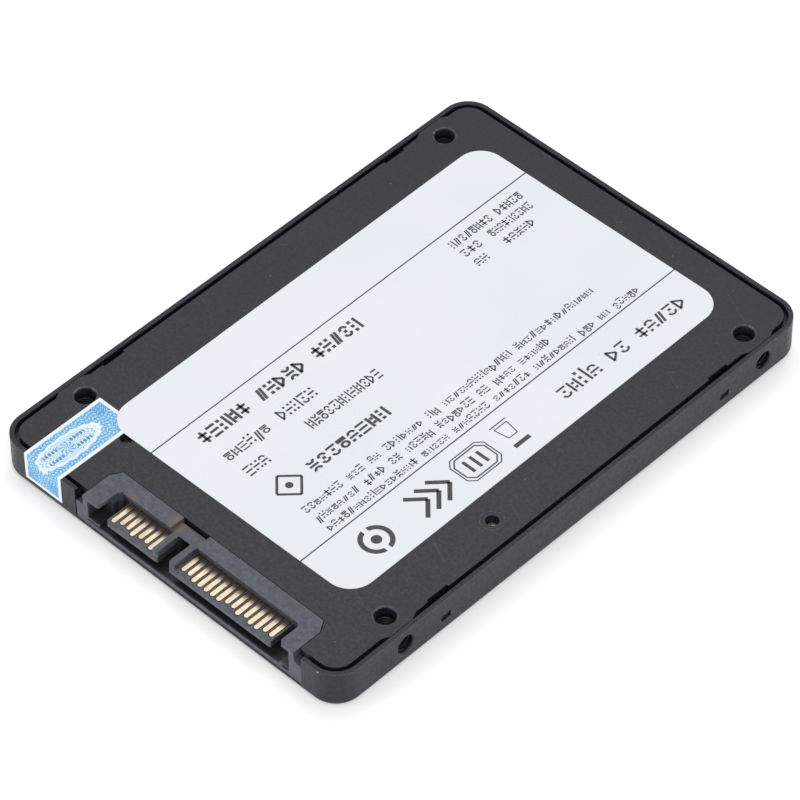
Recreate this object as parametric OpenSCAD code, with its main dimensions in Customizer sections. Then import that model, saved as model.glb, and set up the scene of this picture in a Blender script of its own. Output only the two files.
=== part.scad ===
// Two and a half inch solid state drive, lying with its mounting face up.
// X runs across the drive, Y from the connector end to the far end, Z up.
// The origin is the middle of the closed face that the drive lies on.

/* [Drive] */
// Width of the drive
drive_w = 69.85; // [66:0.05:90]
// Length of the drive
drive_l = 100; // [84:0.1:130]
// Height from the closed face to the mounting face
drive_h = 7; // [7:0.1:9.5]
// Radius of the corners, seen from above
corner_r = 4.5; // [3.5:0.1:6]
// Radius of the edge round the closed face
edge_r = 1.3; // [0.5:0.1:1.4]

/* [Shell] */
// Thickness of the closed face
floor_t = 1; // [0.8:0.1:1.2]
// Thickness of the walls below the cover
wall_t = 1.55; // [1.4:0.05:2]
// Thickness of the thin rim round the cover
rim_t = 0.75; // [0.6:0.05:0.9]

/* [Cover] */
// Thickness of the cover plate
cover_t = 1.2; // [1:0.1:1.4]
// Width of the open groove between cover and rim
groove_w = 0.7; // [0.4:0.05:0.9]
// Gap between the cover's ears and the rim
ear_gap = 0.08; // [0.04:0.01:0.15]
// Gap between the cover and the connector
connector_gap = 0.1; // [0.05:0.01:0.2]

/* [Mounting holes] */
// Distance of the face holes from the side of the drive
hole_inset = 4.065; // [4:0.005:4.6]
// Distance of the front holes from the connector end
front_hole_y = 14; // [13:0.1:16]
// Distance of the rear holes from the far end
rear_hole_y = 9.4; // [9:0.1:12]
// Distance of the side holes below the mounting face
side_hole_drop = 3; // [3:0.1:3.5]
// Wall radius of the threaded holes
thread_r = 1.5; // [1.25:0.05:1.55]
// Depth of the side holes
side_thread_l = 2.3; // [1.8:0.1:2.3]
// Depth of the face holes below the cover
face_thread_l = 3.3; // [2.5:0.1:3.6]

/* [Snap hooks] */
// Distance of the front hooks from the connector end
front_hook_y = 22.15; // [21.5:0.05:24]
// Distance of the rear hooks from the far end
rear_hook_y = 18.1; // [17.5:0.05:20]
// Width of a hook
hook_w = 3; // [2.4:0.1:3.4]

/* [Case screws] */
// Distance of the first screw from the left side
screw_1_x = 14.7; // [14.5:0.1:15]
// Distance of the first screw from the connector end
screw_1_y = 12.35; // [12:0.05:12.6]
// Distance of the second screw from the right side
screw_2_x = 5.5; // [5.4:0.1:5.6]
// Distance of the second screw from the connector end
screw_2_y = 37.5; // [34:0.5:60]
// Shank radius of the case screws
case_screw_r = 0.6; // [0.5:0.05:0.65]

/* [Connector] */
// Distance of the connector's middle from the drive's middle
plug_offset = 4.8; // [4:0.1:5.2]
// Width of the connector's upper flange
plug_w = 43.1; // [42.7:0.1:43.5]
// Width of the connector's front plate
wing_w = 46; // [45:0.1:46.5]
// Depth of the contact face below the mounting face
contact_drop = 1.8; // [1.7:0.05:1.9]
// Length of the tongues
tongue_l = 4.9; // [4.6:0.1:5]
// Thickness of the tongues
tongue_t = 1.23; // [1.1:0.01:1.3]
// Spacing of the contacts
pitch = 1.27; // [1.2:0.01:1.3]
// Width of a contact
contact_w = 0.84; // [0.6:0.02:0.9]

/* [Circuit board] */
// Length of the circuit board
board_l = 56.6; // [54:0.1:60]
// Thickness of the circuit board
board_t = 1; // [0.8:0.1:1.2]
// Height of the contact face above the circuit board
board_drop = 1.2; // [1.1:0.1:1.3]
// Gap round the circuit board
board_gap = 0.5; // [0.3:0.1:0.8]

/* [Label and seal] */
// Distance of the label from the left side
label_left = 9.5; // [9:0.1:16]
// Distance of the label from the right side
label_right = 10; // [9:0.1:16]
// Distance of the label from the connector end
label_front = 12.8; // [12.5:0.1:20]
// Distance of the label from the far end
label_rear = 6.8; // [6:0.1:20]
// Corner radius of the label
label_r = 4.2; // [2:0.1:6]
// Thickness of the label and of the seal
paper_t = 0.08; // [0.05:0.01:0.12]
// Width of the seal
seal_w = 7.7; // [5:0.1:8]
// Height of the seal's lower end above the closed face
seal_low_z = 1.95; // [1.5:0.05:5]

/* [Hidden] */
$fn = 64;
// Overlap that keeps joined solids and through cuts clean
over = 0.5;

// Levels
cover_z = drive_h - cover_t;
contact_z = drive_h - contact_drop;
board_z = contact_z - board_drop;
board_low_z = board_z - board_t;
side_hole_z = drive_h - side_hole_drop;

// Main edges
half_w = drive_w / 2;
half_l = drive_l / 2;
rim_x = half_w - rim_t;
rim_y = half_l - rim_t;
cover_x = rim_x - groove_w;
cover_y = rim_y - groove_w;
wall_x = half_w - wall_t;
wall_y = half_l - wall_t;

// Mounting blocks and hooks: places along the drive
hole_x = half_w - hole_inset;
hole_ys = [front_hole_y - half_l, half_l - rear_hole_y];
block_in = 3;
block_half_l = 3.6;
mouth_r = thread_r + 0.1;
mouth_bevel = 0.25;
ear_half_l = 2.3;
ear_slope = 1.2;
hook_ys = [front_hook_y - half_l, half_l - rear_hook_y];
notch_l = hook_w + 1.1;
notch_in = 0.38;
hook_gap = 0.08;
hook_t = 0.9;
catch_h = 1.3;
window_w = 1.9;
window_h = 1.2;
window_depth = 0.3;
window_z = side_hole_z - 0.7;
catch_z = window_z - catch_h / 2;

// Case screws
screw_places = [[screw_1_x - half_w, screw_1_y - half_l], [half_w - screw_2_x, screw_2_y - half_l]];
screw_head_r = 0.95;
screw_head_h = 0.6;
screw_seat_drop = 2.1;
screw_shelf_t = 0.6;
screw_l = 3.1;
screw_seat_z = drive_h - screw_seat_drop;
post_low_z = screw_seat_z - screw_shelf_t;
post_r = 1.9;
boss_r = 2;
screw_fit = 0.05;
pocket_fit = 0.1;
ring_r = 1.9;
ring_t = 0.12;
ring_depth = 0.06;

// Connector
front_y = 0.1 - half_l;
plug_l = 7.2;
back_y = front_y + plug_l;
root_y = front_y + tongue_l;
sill_h = 0.3;
plug_low_z = floor_t + sill_h;
plug_floor_z = plug_low_z + 0.95;
wall_lean = 0.5;
slot_left_x = plug_offset - 18.25;
slot_right_x = plug_offset + 18.6;
tongue_half = 16.695;
signal_w = 10.41;
power_w = 20.57;
signal_x = plug_offset - tongue_half;
power_x = plug_offset + tongue_half - power_w;
key_w = 1.1;
key_h = 1.05;
bridge_x0 = plug_offset - 7.8;
bridge_x1 = plug_offset - 2.4;
bridge_z = contact_z + key_h;
arm_t = 0.6;
arm_reach = 20.565;
arm_depth = 3;
left_ledge_z = plug_floor_z + 0.65;
right_ledge_z = plug_floor_z + 0.5;
row_half = 12.5 * pitch;
signal_first_x = plug_offset - row_half;
power_first_x = signal_first_x + 11 * pitch;
long_tip = 0.45;
short_tip = 0.95;
groove_t = 0.15;
groove_side = 0.1;
contact_proud = 0.06;
tail_t = 0.15;
tail_l = 1.6;
signal_long = [0, 3, 6];
power_long = [2, 3, 4, 5, 6, 9, 11, 12];
lock_x = plug_w / 2 - 1.6;
lock_r = 0.45;
foot_w = 3.2;
foot_l = 2.6;
foot_h = 1.5;

// Circuit board
board_w = 2 * (hole_x - block_in - board_gap - 0.36);
board_y = back_y + 0.1;
board_end_y = board_y + board_l;
board_screw_x = board_w / 2 - 3.5;
board_screw_y = board_end_y - 3.5;
board_screw_r = 0.8;
board_boss_r = 2.4;
chip_t = 1.1;

// Paper
label_w = drive_w - label_left - label_right;
label_l = drive_l - label_front - label_rear;
label_x = (label_left - label_right) / 2;
label_y = (label_front - label_rear) / 2;
label_turn = 0.35;
seal_x = 9.87 - half_w;
seal_l = 15.15;
seal_gap = 0.02;

module rounded_rect(w, l, r) {
    square([w - 2 * r, l], center = true);
    square([w, l - 2 * r], center = true);
    for (x = [-1, 1], y = [-1, 1])
        translate([x * (w / 2 - r), y * (l / 2 - r)]) circle(r);
}

module slab(x0, x1, y0, y1, z0, z1) {
    translate([x0, y0, z0]) cube([x1 - x0, y1 - y0, z1 - z0]);
}

// Section of the closed shell, span wide, with its two lower corners rounded
module shell_section(span) {
    translate([edge_r - span / 2, 0]) square([span - 2 * edge_r, drive_h]);
    translate([-span / 2, edge_r]) square([span, drive_h - edge_r]);
    for (side = [-1, 1])
        translate([side * (span / 2 - edge_r), edge_r]) circle(edge_r);
}

// Corner of the shell as a round puck with the same lower edge
module shell_corner() {
    rotate_extrude() {
        square([corner_r - edge_r, drive_h]);
        translate([0, edge_r]) square([corner_r, drive_h - edge_r]);
        intersection() {
            translate([corner_r - edge_r, edge_r]) circle(edge_r);
            square([corner_r, drive_h]);
        }
    }
}

module shell_blank() {
    straight_w = drive_w - 2 * corner_r;
    straight_l = drive_l - 2 * corner_r;
    translate([0, straight_l / 2, 0]) rotate([90, 0, 0]) linear_extrude(straight_l) shell_section(drive_w);
    translate([-straight_w / 2, 0, 0]) rotate([90, 0, 90]) linear_extrude(straight_w) shell_section(drive_l);
    for (x = [-1, 1], y = [-1, 1])
        translate([x * straight_w / 2, y * straight_l / 2, 0]) shell_corner();
}

// Four-fold layouts
module at_holes() {
    for (side = [-1, 1], y = hole_ys) translate([side * hole_x, y, 0]) children();
}

module at_hooks() {
    for (side = [0, 1], y = hook_ys) mirror([side, 0, 0]) translate([0, y, 0]) children();
}

module mount_block() {
    slab(-block_in, wall_x - hole_x + over, -block_half_l, block_half_l, floor_t - over, cover_z);
}

module mount_blocks() {
    for (side = [0, 1], y = hole_ys) mirror([side, 0, 0]) translate([hole_x, y, 0]) mount_block();
}

module side_thread() {
    translate([half_w - side_thread_l, 0, side_hole_z]) rotate([0, 90, 0]) {
        cylinder(r = thread_r, h = side_thread_l + over);
        translate([0, 0, side_thread_l - 0.2]) cylinder(r1 = thread_r, r2 = thread_r + 0.35, h = 0.35);
    }
}

module outer_shell() {
    color("#3a3a3e") difference() {
        union() {
            difference() {
                shell_blank();
                translate([0, 0, floor_t])
                    linear_extrude(drive_h) rounded_rect(2 * wall_x, 2 * wall_y, corner_r - wall_t);
                translate([0, 0, cover_z])
                    linear_extrude(drive_h) rounded_rect(2 * rim_x, 2 * rim_y, corner_r - rim_t);
            }
            mount_blocks();
            for (place = screw_places)
                translate([place[0], place[1], floor_t - over]) cylinder(r = boss_r, h = post_low_z - floor_t + over);
            for (side = [-1, 1])
                translate([side * board_screw_x, board_screw_y, floor_t - over])
                    cylinder(r = board_boss_r, h = board_low_z - floor_t + over);
        }
        // Opening in the end wall for the connector, which stands on a low sill
        slab(plug_offset - wing_w / 2 - connector_gap, plug_offset + wing_w / 2 + connector_gap,
            -half_l - over, -wall_y + over, plug_low_z, drive_h + over);
        at_holes() translate([0, 0, cover_z - face_thread_l]) cylinder(r = thread_r, h = drive_h);
        for (side = [0, 1], y = hole_ys) mirror([side, 0, 0]) translate([0, y, 0]) side_thread();
        // Pockets that the snap hooks stand in, and the windows outside them
        at_hooks() slab(wall_x - over, rim_x, -notch_l / 2, notch_l / 2, catch_z - hook_gap, drive_h + over);
        at_hooks() slab(half_w - window_depth, half_w + over, -window_w / 2, window_w / 2,
            window_z - window_h / 2, window_z + window_h / 2);
        for (place = screw_places)
            translate([place[0], place[1], post_low_z - screw_l])
                cylinder(r = case_screw_r + screw_fit, h = drive_h);
        for (side = [-1, 1])
            translate([side * board_screw_x, board_screw_y, floor_t])
                cylinder(r = board_screw_r + screw_fit, h = drive_h);
    }
}

// Connector outline seen from above, grown by gap
module plug_outline(gap) {
    edge_x = plug_w / 2 + gap;
    bevel_x = 1.1;
    bevel_y = 1.9;
    translate([plug_offset, 0]) polygon([
        [-edge_x, front_y], [edge_x, front_y],
        [edge_x, back_y + gap - bevel_y], [edge_x - bevel_x, back_y + gap],
        [bevel_x - edge_x, back_y + gap], [-edge_x, back_y + gap - bevel_y]]);
}

module ear_outline() {
    reach = rim_x - ear_gap;
    polygon([[cover_x - over, -ear_half_l - ear_slope], [cover_x, -ear_half_l - ear_slope],
        [reach, -ear_half_l], [reach, ear_half_l],
        [cover_x, ear_half_l + ear_slope], [cover_x - over, ear_half_l + ear_slope]]);
}

module cover_outline() {
    difference() {
        union() {
            rounded_rect(2 * cover_x, 2 * cover_y, corner_r - rim_t - groove_w);
            for (side = [0, 1], y = hole_ys) mirror([side, 0]) translate([0, y]) ear_outline();
        }
        plug_outline(connector_gap);
        for (side = [0, 1], y = hook_ys)
            mirror([side, 0]) translate([cover_x - notch_in, y - notch_l / 2]) square([1 + over, notch_l]);
    }
}

module snap_hook() {
    leg_x = cover_x - notch_in;
    slab(leg_x - hook_t, leg_x, -hook_w / 2, hook_w / 2, catch_z, cover_z + over);
    slab(leg_x - over, rim_x - hook_gap, -hook_w / 2, hook_w / 2, catch_z, catch_z + catch_h);
}

module base_cover() {
    color("#3a3a3e") difference() {
        union() {
            translate([0, 0, cover_z]) linear_extrude(cover_t) cover_outline();
            at_hooks() snap_hook();
            for (place = screw_places)
                translate([place[0], place[1], post_low_z]) cylinder(r = post_r, h = cover_z - post_low_z + over);
        }
        at_holes() {
            translate([0, 0, cover_z - over]) cylinder(r = mouth_r, h = cover_t + 2 * over);
            translate([0, 0, drive_h - mouth_bevel])
                cylinder(r1 = mouth_r, r2 = mouth_r + 2 * mouth_bevel, h = 2 * mouth_bevel);
        }
        for (place = screw_places) translate([place[0], place[1], 0]) {
            translate([0, 0, screw_seat_z]) cylinder(r = screw_head_r + pocket_fit, h = drive_h);
            translate([0, 0, post_low_z - over]) cylinder(r = case_screw_r + pocket_fit, h = drive_h);
            // Faint ring that the moulding core leaves round the hole
            translate([0, 0, drive_h - ring_depth]) difference() {
                cylinder(r = ring_r, h = 1);
                translate([0, 0, -over]) cylinder(r = ring_r - ring_t, h = 1 + 2 * over);
            }
        }
    }
}

// Screw with a flat head and a cross recess, its seat at z = 0
module cross_screw(head_r, head_h, shank_r, shank_l) {
    arm = head_r * 1.1;
    difference() {
        union() {
            cylinder(r = head_r, h = head_h);
            translate([0, 0, -shank_l]) cylinder(r = shank_r, h = shank_l + head_h / 2);
        }
        for (turn = [0, 90]) rotate([0, 0, turn])
            translate([-arm / 2, -head_r * 0.14, head_h * 0.4]) cube([arm, head_r * 0.28, head_h]);
    }
}

module case_screws() {
    color("#b9a878") for (place = screw_places)
        translate([place[0], place[1], screw_seat_z])
            cross_screw(screw_head_r, screw_head_h, case_screw_r, screw_l);
}

module label_outline(grow) {
    translate([label_x, label_y]) rotate(label_turn)
        rounded_rect(label_w + 2 * grow, label_l + 2 * grow, label_r + grow);
}

module product_label() {
    color("#eceff5") translate([0, 0, drive_h]) linear_extrude(paper_t) label_outline(0);
}

module seal_sticker() {
    outer_y = -half_l - seal_gap - paper_t;
    color("#a9d6ee") {
        translate([0, 0, drive_h]) linear_extrude(paper_t) difference() {
            translate([seal_x - seal_w / 2, outer_y]) square([seal_w, seal_l - outer_y - half_l]);
            label_outline(seal_gap);
        }
        slab(seal_x - seal_w / 2, seal_x + seal_w / 2, outer_y, outer_y + paper_t,
            seal_low_z, drive_h + paper_t / 2);
    }
}

// Outline from above of a tongue or key leg, with bevelled front corners
module front_bar(x0, width, y0) {
    bevel = 0.3;
    translate([x0, 0]) polygon([[0, root_y + over], [0, y0 + bevel], [bevel, y0],
        [width - bevel, y0], [width, y0 + bevel], [width, root_y + over]]);
}

// Tongue with bevelled front edges, its section seen from the side swept along X
module tongue(x0, width) {
    bevel = 0.3;
    low = contact_z - tongue_t;
    intersection() {
        translate([x0, 0, 0]) rotate([90, 0, 90]) linear_extrude(width) polygon([
            [root_y + over, low], [root_y + over, contact_z], [front_y + bevel, contact_z],
            [front_y, contact_z - bevel], [front_y, low + bevel], [front_y + bevel, low]]);
        linear_extrude(drive_h) front_bar(x0, width, front_y);
    }
}

module key_leg(x0) {
    translate([0, 0, contact_z - tongue_t / 2]) linear_extrude(tongue_t / 2 + key_h) front_bar(x0, key_w, front_y + 0.1);
}

// Space between the arms for the mating plug; its rear wall leans forward towards the top
module mating_space() {
    top_y = root_y - wall_lean;
    translate([slot_left_x, 0, 0]) rotate([90, 0, 90]) linear_extrude(slot_right_x - slot_left_x) polygon([
        [front_y - over, plug_floor_z], [root_y, plug_floor_z], [root_y, contact_z + 0.2],
        [top_y, drive_h - 0.2], [top_y, drive_h + over], [front_y - over, drive_h + over]]);
}

// Bevelled fill of a rear corner of the mating space, for the left side
module space_corner() {
    top_y = root_y - wall_lean;
    translate([0, 0, plug_low_z]) linear_extrude(drive_h - plug_low_z) polygon([
        [-0.1, top_y - 0.5], [0, top_y - 0.5], [0.5, top_y], [0.5, root_y + 0.1], [-0.1, root_y + 0.1]]);
}

// Hollow foot of the right arm's outer wall, blending into the front plate
module arm_blend() {
    blend_r = 0.9;
    blend_x = plug_offset + plug_w / 2;
    blend_z = contact_z - 0.3;
    difference() {
        slab(blend_x - over, blend_x + blend_r, front_y, -wall_y + 0.15, blend_z - over, blend_z + blend_r);
        translate([blend_x + blend_r, front_y - over, blend_z + blend_r])
            rotate([-90, 0, 0]) cylinder(r = blend_r, h = wall_t + 2 * over);
    }
}

module housing_block() {
    difference() {
        union() {
            translate([0, 0, plug_low_z]) linear_extrude(drive_h - plug_low_z) plug_outline(0);
            slab(plug_offset - wing_w / 2, plug_offset + wing_w / 2, front_y, -wall_y + 0.15,
                plug_low_z, contact_z - 0.3);
            arm_blend();
            for (side = [-1, 1])
                translate([plug_offset + side * lock_x - foot_w / 2, back_y - over, board_z])
                    cube([foot_w, foot_l + over, foot_h]);
        }
        mating_space();
        // Pockets under the tips of both arms
        slab(plug_offset - arm_reach, slot_left_x + over, front_y - over, front_y + arm_depth,
            left_ledge_z, drive_h - arm_t);
        slab(slot_right_x - over, plug_offset + arm_reach, front_y - over, front_y + arm_depth,
            right_ledge_z, drive_h - arm_t);
        // Core slots under the ledges of both pockets
        slab(plug_offset - arm_reach - 0.1, slot_left_x + over, front_y - over, front_y + 1.2,
            plug_floor_z, left_ledge_z - 0.3);
        slab(plug_offset + arm_reach - 1.4, plug_offset + arm_reach - 0.05, front_y - over, front_y + 1.2,
            plug_floor_z - 0.15, right_ledge_z - 0.15);
        // Bevelled inner tips of the arms
        translate([slot_right_x, front_y, right_ledge_z]) rotate(45) translate([-0.4, -0.4, 0])
            cube([0.8, 0.8, drive_h]);
        translate([slot_left_x, front_y, left_ledge_z]) rotate(45) translate([-0.2, -0.2, 0])
            cube([0.4, 0.4, drive_h]);
        // Lowered bridge between signal and power parts, and the hollow below it
        slab(bridge_x0, bridge_x1, root_y - 1, back_y + over, bridge_z, drive_h + over);
        slab(bridge_x0, bridge_x1, back_y - 0.35, back_y + over, board_z + foot_h, drive_h + over);
        slab(signal_x + signal_w, power_x, root_y - over, root_y + 1.2, plug_floor_z, bridge_z - 0.35);
    }
    translate([slot_left_x, 0, 0]) space_corner();
    translate([slot_right_x, 0, 0]) mirror([1, 0, 0]) space_corner();
}

module connector_housing() {
    color("#6c7078") difference() {
        union() {
            housing_block();
            tongue(signal_x, signal_w);
            tongue(power_x, power_w);
            key_leg(signal_x + signal_w - key_w);
            key_leg(power_x);
        }
        all_contacts();
        contact_grooves();
        for (side = [-1, 1]) translate([plug_offset + side * lock_x, back_y + foot_l / 2, 0])
            cylinder(r = lock_r, h = drive_h);
    }
}

// Flat blade along Y with a round tip at the front
module blade(x, tip, width, end_y, low_z, high_z) {
    tip_y = front_y + tip + contact_w / 2;
    translate([x, 0, low_z]) linear_extrude(high_z - low_z) {
        translate([0, tip_y]) circle(width / 2);
        translate([-width / 2, tip_y]) square([width, end_y - tip_y]);
    }
}

// One contact: blade, passage through the housing, and soldered tail
module contact(x, tip) {
    tail_y = back_y + 0.05;
    blade(x, tip, contact_w, tail_y + tail_t, contact_z - groove_t, contact_z + contact_proud);
    slab(x - contact_w / 4, x + contact_w / 4, tail_y, tail_y + tail_t, board_z, contact_z);
    slab(x - contact_w / 4, x + contact_w / 4, tail_y, tail_y + tail_l, board_z, board_z + tail_t);
}

function signal_tip(i) = len(search(i, signal_long)) > 0 ? long_tip : short_tip;
function power_tip(i) = len(search(i, power_long)) > 0 ? long_tip : short_tip;

module signal_contacts() {
    color("#e3c98a") for (i = [0:6]) contact(signal_first_x + i * pitch, signal_tip(i));
}

module power_contacts() {
    color("#e3c98a") for (i = [0:14]) contact(power_first_x + i * pitch, power_tip(i));
}

module all_contacts() {
    signal_contacts();
    power_contacts();
}

// Shallow grooves in the tongues that the contacts lie in
module contact_grooves() {
    wide = contact_w + 2 * groove_side;
    for (i = [0:6])
        blade(signal_first_x + i * pitch, signal_tip(i), wide, root_y, contact_z - groove_t, contact_z + 0.1);
    for (i = [0:14])
        blade(power_first_x + i * pitch, power_tip(i), wide, root_y, contact_z - groove_t, contact_z + 0.1);
}

module board_locks() {
    head_t = 0.25;
    color("#c9c9c6") for (side = [-1, 1])
        translate([plug_offset + side * lock_x, back_y + foot_l / 2, 0]) {
            translate([0, 0, board_low_z - 0.4]) cylinder(r = lock_r, h = board_t + foot_h + 0.4 + head_t / 2);
            translate([-0.9, -0.9, board_z + foot_h]) cube([1.8, 1.8, head_t]);
        }
}

module circuit_board() {
    notch_x = screw_places[0][0] + boss_r + board_gap;
    notch_y = screw_places[0][1] + boss_r + board_gap;
    color("#12603e") difference() {
        slab(-board_w / 2, board_w / 2, board_y, board_end_y, board_low_z, board_z);
        slab(-board_w / 2 - over, notch_x, board_y - over, notch_y, board_low_z - over, board_z + over);
        for (side = [-1, 1]) {
            translate([plug_offset + side * lock_x, back_y + foot_l / 2, 0])
                cylinder(r = lock_r, h = drive_h);
            translate([side * board_screw_x, board_screw_y, 0])
                cylinder(r = board_screw_r + pocket_fit, h = drive_h);
        }
    }
}

module board_screws() {
    color("#b8b8ba") for (side = [-1, 1])
        translate([side * board_screw_x, board_screw_y, board_z])
            cross_screw(1.7, 0.8, board_screw_r, board_low_z - floor_t + board_t - 0.3);
}

// Chip package w by l by h on top of the board, its middle at x and dist from the board's front edge
module package(x, dist, w, l, h) {
    translate([x - w / 2, board_y + dist - l / 2, board_z]) cube([w, l, h]);
}

// The same below the board
module package_below(x, dist, w, l, h) {
    translate([0, 0, -board_t - h]) package(x, dist, w, l, h);
}

module controller_chip() {
    color("#222326") package(-3, 18, 14, 14, chip_t);
}

module buffer_chip() {
    color("#222326") package(-18.5, 19, 9, 13, chip_t);
}

flash_x = [-13, 5];
flash_dist = 43.5;
flash_w = 12;
flash_l = 18;

module flash_chip_1() {
    color("#1d1e20") package(flash_x[0], flash_dist, flash_w, flash_l, chip_t);
}

module flash_chip_2() {
    color("#1d1e20") package(flash_x[1], flash_dist, flash_w, flash_l, chip_t);
}

module flash_chip_3() {
    color("#1d1e20") package_below(flash_x[0], flash_dist, flash_w, flash_l, chip_t);
}

module flash_chip_4() {
    color("#1d1e20") package_below(flash_x[1], flash_dist, flash_w, flash_l, chip_t);
}

module firmware_chip() {
    color("#222326") package(-19, 31, 5, 4, 1);
}

module regulator_chip() {
    color("#222326") package(12.5, 10, 5, 5, 0.85);
}

module clock_crystal() {
    color("#c4c4c2") package(8.2, 21.5, 3.2, 2.5, 0.7);
}

module power_coils() {
    color("#4a4a4c") for (i = [0, 1]) package(19.5, 8 + i * 6, 4.2, 4.2, 1.4);
}

module supply_capacitors() {
    color("#c79a3c") for (i = [0:2]) package(19.5, 20.5 + i * 6, 7.3, 4.3, 1.6);
}

module ceramic_capacitors() {
    color("#a98a62") {
        for (i = [0:5]) package(-8 + i * 2, 27.2, 1, 1.8, 0.8);
        for (i = [0:3]) package(6.4, 12.4 + i * 1.6, 1.8, 1, 0.8);
        for (i = [0:2]) package(13.4, 32.6 + i * 3, 1.8, 1, 0.8);
        for (i = [0:3]) package(-22 + i * 2.2, 10.4, 1, 1.8, 0.8);
        for (i = [0, 1]) package(23.8, 8 + i * 6, 1.25, 2, 1);
    }
}

module chip_resistors() {
    color("#2a2a2c") {
        for (i = [0:6]) package(-10.3 + i * 2.1, 6.4, 0.8, 1.6, 0.45);
        for (i = [0:4]) package(-12, 13 + i * 1.9, 1.6, 0.8, 0.45);
        for (i = [0:3]) package(-13.8 + i * 1.5, 31, 0.8, 1.6, 0.45);
    }
}

module thermal_pad() {
    pad_margin = 1;
    color("#8fa6bb") slab(flash_x[0] - flash_w / 2 + pad_margin, flash_x[1] + flash_w / 2 - pad_margin,
        board_y + flash_dist - flash_l / 2 + pad_margin, board_y + flash_dist + flash_l / 2 - pad_margin,
        floor_t, board_low_z - chip_t);
}

outer_shell();
base_cover();
case_screws();
product_label();
seal_sticker();
connector_housing();
signal_contacts();
power_contacts();
board_locks();
circuit_board();
board_screws();
controller_chip();
buffer_chip();
flash_chip_1();
flash_chip_2();
flash_chip_3();
flash_chip_4();
firmware_chip();
regulator_chip();
clock_crystal();
power_coils();
supply_capacitors();
ceramic_capacitors();
chip_resistors();
thermal_pad();
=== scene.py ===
"""Solid state drive, label side up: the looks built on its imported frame."""

import logging
import math
import random
from collections.abc import Callable, Iterator, Sequence
from contextlib import contextmanager
from dataclasses import dataclass, field
from enum import Enum
from functools import cached_property

import bmesh
import bpy
from mathutils import Matrix, Vector


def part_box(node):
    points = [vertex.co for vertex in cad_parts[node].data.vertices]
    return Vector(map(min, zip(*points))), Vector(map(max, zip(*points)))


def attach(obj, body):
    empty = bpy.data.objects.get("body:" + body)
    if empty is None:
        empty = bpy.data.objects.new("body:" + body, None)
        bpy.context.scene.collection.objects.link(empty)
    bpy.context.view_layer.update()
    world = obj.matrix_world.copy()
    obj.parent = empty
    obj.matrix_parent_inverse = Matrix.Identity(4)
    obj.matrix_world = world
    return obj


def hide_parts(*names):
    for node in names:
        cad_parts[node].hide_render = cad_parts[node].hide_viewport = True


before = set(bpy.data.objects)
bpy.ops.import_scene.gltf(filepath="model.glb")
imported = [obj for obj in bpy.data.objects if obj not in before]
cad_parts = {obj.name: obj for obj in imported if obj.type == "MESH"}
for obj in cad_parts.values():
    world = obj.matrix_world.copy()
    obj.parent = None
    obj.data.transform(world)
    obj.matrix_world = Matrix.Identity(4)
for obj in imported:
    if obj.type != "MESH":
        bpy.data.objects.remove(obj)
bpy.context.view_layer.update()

LOG = logging.getLogger("drive")
MM = 0.001
WELD = 1e-6
QUARTER = math.pi / 2
FLAT_WITHIN = math.radians(1)
ROUND_ABOVE = math.radians(32)
SMOOTH_BELOW = math.radians(46)

Rgba = tuple[float, float, float, float]
Spot = tuple[float, float]
Place = tuple[float, float, float]
Piece = bpy.types.Object
Socket = bpy.types.NodeSocket
Material = bpy.types.Material


class Body(Enum):
    """The two bodies that a piece can move with."""

    SHELL = "shell"
    COVER = "cover"


def tone(red: float, green: float, blue: float) -> Rgba:
    """Turns a screen colour into the colour that a shader takes.

    Args:
        red: Red, from 0 to 255.
        green: Green, from 0 to 255.
        blue: Blue, from 0 to 255.

    Returns:
        The same colour as linear light, opaque.
    """
    light = [
        c / 12.92 if c <= 0.04045 else ((c + 0.055) / 1.055) ** 2.4
        for c in (red / 255, green / 255, blue / 255)
    ]
    return (light[0], light[1], light[2], 1.0)


def scaled(colour: Rgba, factor: float) -> Rgba:
    """A lighter or darker version of a colour."""
    return (colour[0] * factor, colour[1] * factor, colour[2] * factor, 1.0)


# ---------------------------------------------------------------- bench work


def let_go() -> None:
    """Goes back to object mode with nothing selected."""
    if bpy.context.object is not None and bpy.context.object.mode != "OBJECT":
        bpy.ops.object.mode_set(mode="OBJECT")
    bpy.ops.object.select_all(action="DESELECT")


def take(piece: Piece) -> None:
    """Makes one piece the only one in hand.

    Args:
        piece: The piece.
    """
    let_go()
    piece.select_set(True)
    bpy.context.view_layer.objects.active = piece


def named(name: str) -> Piece:
    """Names the piece in hand.

    Args:
        name: Its name.

    Returns:
        The piece.
    """
    piece = bpy.context.view_layer.objects.active
    piece.name = piece.data.name = name
    return piece


@contextmanager
def edit(piece: Piece, kind: str = "FACE", action: str = "SELECT") -> Iterator[None]:
    """Opens a piece in edit mode.

    Args:
        piece: The piece to work on.
        kind: What is picked: VERT, EDGE or FACE.
        action: SELECT to start with all of it picked, DESELECT with nothing.

    Yields:
        Nothing; the piece is back in object mode afterwards.
    """
    take(piece)
    bpy.ops.object.mode_set(mode="EDIT")
    bpy.ops.mesh.select_mode(type=kind)
    bpy.ops.mesh.select_all(action=action)
    yield
    bpy.ops.object.mode_set(mode="OBJECT")


def pick_faces(piece: Piece, wanted: Callable[[Vector], bool]) -> None:
    """Selects faces of the piece being edited.

    Args:
        piece: The piece in edit mode.
        wanted: Says of a face's normal if the face is picked.
    """
    mesh = bmesh.from_edit_mesh(piece.data)
    for face in mesh.faces:
        face.select_set(wanted(face.normal))
    mesh.select_flush_mode()
    bmesh.update_edit_mesh(piece.data)


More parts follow.
